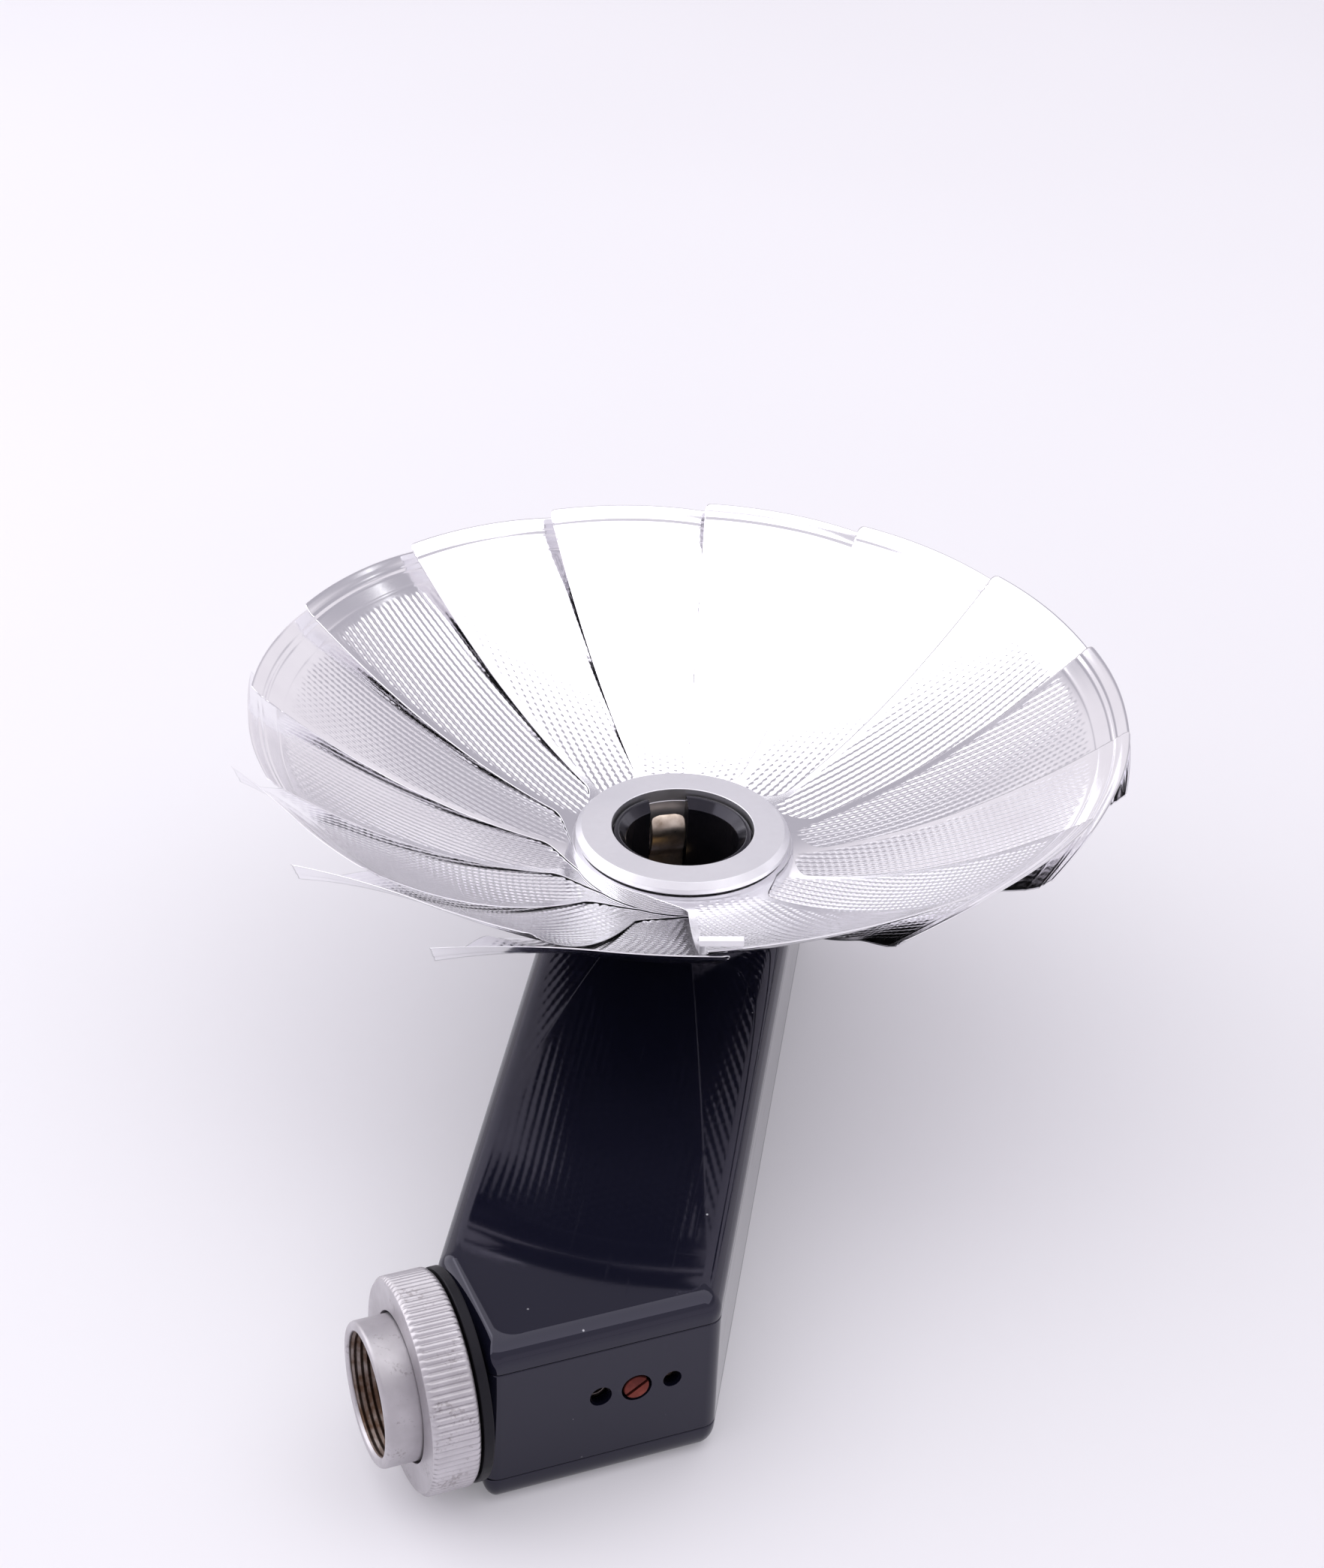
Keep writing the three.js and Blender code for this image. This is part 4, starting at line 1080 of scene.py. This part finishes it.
battery()
capacitor()
leads()


# ---------- CAD nodes that stay ----------
def smoothing_group():
    """Merges the facets' corners, drops their flat normals and smooths all but the sharp edges."""
    group = bpy.data.node_groups.new("smooth_by_angle", "GeometryNodeTree")
    group.interface.new_socket("Geometry", in_out="INPUT", socket_type="NodeSocketGeometry")
    group.interface.new_socket("Geometry", in_out="OUTPUT", socket_type="NodeSocketGeometry")
    nodes, links = group.nodes, group.links
    start, end = nodes.new("NodeGroupInput"), nodes.new("NodeGroupOutput")
    merge = nodes.new("GeometryNodeMergeByDistance")
    merge.inputs["Distance"].default_value = 2e-6
    drop = nodes.new("GeometryNodeRemoveAttribute")
    drop.inputs["Name"].default_value = "custom_normal"
    faces = nodes.new("GeometryNodeSetShadeSmooth")
    edges = nodes.new("GeometryNodeSetShadeSmooth")
    edges.domain = "EDGE"
    angle = nodes.new("GeometryNodeInputMeshEdgeAngle")
    flat = nodes.new("FunctionNodeCompare")
    flat.operation = "LESS_THAN"
    flat.inputs[1].default_value = math.radians(35)
    links.new(start.outputs[0], merge.inputs["Geometry"])
    links.new(merge.outputs["Geometry"], drop.inputs["Geometry"])
    links.new(drop.outputs["Geometry"], faces.inputs["Geometry"])
    links.new(faces.outputs["Geometry"], edges.inputs["Geometry"])
    links.new(angle.outputs["Unsigned Angle"], flat.inputs[0])
    links.new(flat.outputs["Result"], edges.inputs["Shade Smooth"])
    links.new(edges.outputs["Geometry"], end.inputs[0])
    return group


KEPT = {
    "chassis_plate": PHENOLIC, "terminal_board": PHENOLIC, "resistor": PHENOLIC, "button_guide": PHENOLIC,
    "battery_contact_upper": BRONZE, "battery_contact_lower": BRONZE, "eject_rocker": STEEL,
    "rocker_pin": STEEL, "rocker_bracket": STEEL,
}


def keep_nodes():
    """Gives the CAD nodes that stay their materials and soft edges."""
    group = smoothing_group()
    for name, material in KEPT.items():
        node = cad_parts[name]
        for slot in node.material_slots:
            slot.link = "OBJECT"
            slot.material = material
        refine = node.modifiers.new("smooth", "NODES")
        refine.node_group = group
        round_edges(node, 0.1)


keep_nodes()


# ---------- stage, light and camera ----------
def floor():
    n = material_nodes("pale_floor")
    cloud = n.noise(3, 2)
    colour = n.mixed(n.span(cloud, 0.3, 0.7), (0.635, 0.625, 0.65), (0.665, 0.655, 0.68))
    material = n.finish(colour, n.span(cloud, 0.3, 0.7, 0.55, 0.65), Emission_Color=(1, 0.985, 1.03, 1),
                        Emission_Strength=0.17)
    size, level = 6.0, -0.05 * MM
    corners = [(-size, -size, level), (size, -size, level), (size, size, level), (-size, size, level)]
    mesh = bpy.data.meshes.new("floor")
    mesh.from_pydata(corners, [], [(0, 1, 2, 3)])
    mesh.materials.append(material)
    new_object("floor", mesh)


def area_light(name, place, target, size, power, colour=(1, 1, 1)):
    """A rectangular light at a place, facing the target."""
    data = bpy.data.lights.new(name, "AREA")
    data.shape = "RECTANGLE"
    data.size, data.size_y = size
    data.energy = power
    data.color = colour
    light = new_object(name, data)
    light.location = place
    light.rotation_mode = "QUATERNION"
    light.rotation_quaternion = (Vector(target) - Vector(place)).to_track_quat("-Z", "Y")


def surroundings():
    """A white tent: bright near the table, and dimmer above its back than above the camera."""
    n = Nodes(bpy.data.worlds.new("studio"), "Generated")
    bpy.context.scene.world = n.owner
    backward = n.span(n.along("Y"), -0.5, 0.5, curve="SMOOTHSTEP")
    upward = n.span(n.along("Z"), 0.36, 0.56, curve="SMOOTHSTEP")
    low_wall = n.mixed(backward, (0.92, 0.88, 0.96), (0.86, 0.82, 0.88))
    high_wall = n.mixed(backward, (0.72, 0.69, 0.76), (0.46, 0.44, 0.50))
    n.link(n.mixed(upward, low_wall, high_wall), n.tree.nodes["Background"].inputs["Color"])


def lights():
    """Sizes and places in metres, power in watts."""
    area_light("overhead", place=(0.05, 0.13, 0.9), target=(0.05, 0.13, 0), size=(1.8, 1.05), power=6.2)
    area_light("left_window", place=(-0.62, 0.05, 0.38), target=(0, -0.02, 0.03), size=(0.8, 0.5), power=1.7,
               colour=(0.98, 0.98, 1.0))


AZIMUTH, ELEVATION, ROLL = (math.radians(a) for a in (6.64, 31.5, 2.65))
DISTANCE = 400.3
AIM = Vector((-3.73, 5.19, 32.12))
LENS, SENSOR = 67.2, 36.0


def camera():
    back = Vector((math.sin(AZIMUTH) * math.cos(ELEVATION), -math.cos(AZIMUTH) * math.cos(ELEVATION),
                   math.sin(ELEVATION)))
    level = Vector((math.cos(AZIMUTH), math.sin(AZIMUTH), 0))
    upright = back.cross(level)
    right = level * math.cos(ROLL) + upright * math.sin(ROLL)
    up = back.cross(right)
    data = bpy.data.cameras.new("camera")
    data.lens = LENS
    data.sensor_width = SENSOR
    data.clip_start, data.clip_end = 0.01, 50
    eye = new_object("camera", data)
    turn = Matrix((right, up, back)).transposed().to_4x4()
    eye.matrix_world = Matrix.Translation((AIM + back * DISTANCE) * MM) @ turn
    bpy.context.scene.camera = eye


floor()
surroundings()
lights()
camera()
bpy.context.scene.view_settings.view_transform = "Standard"
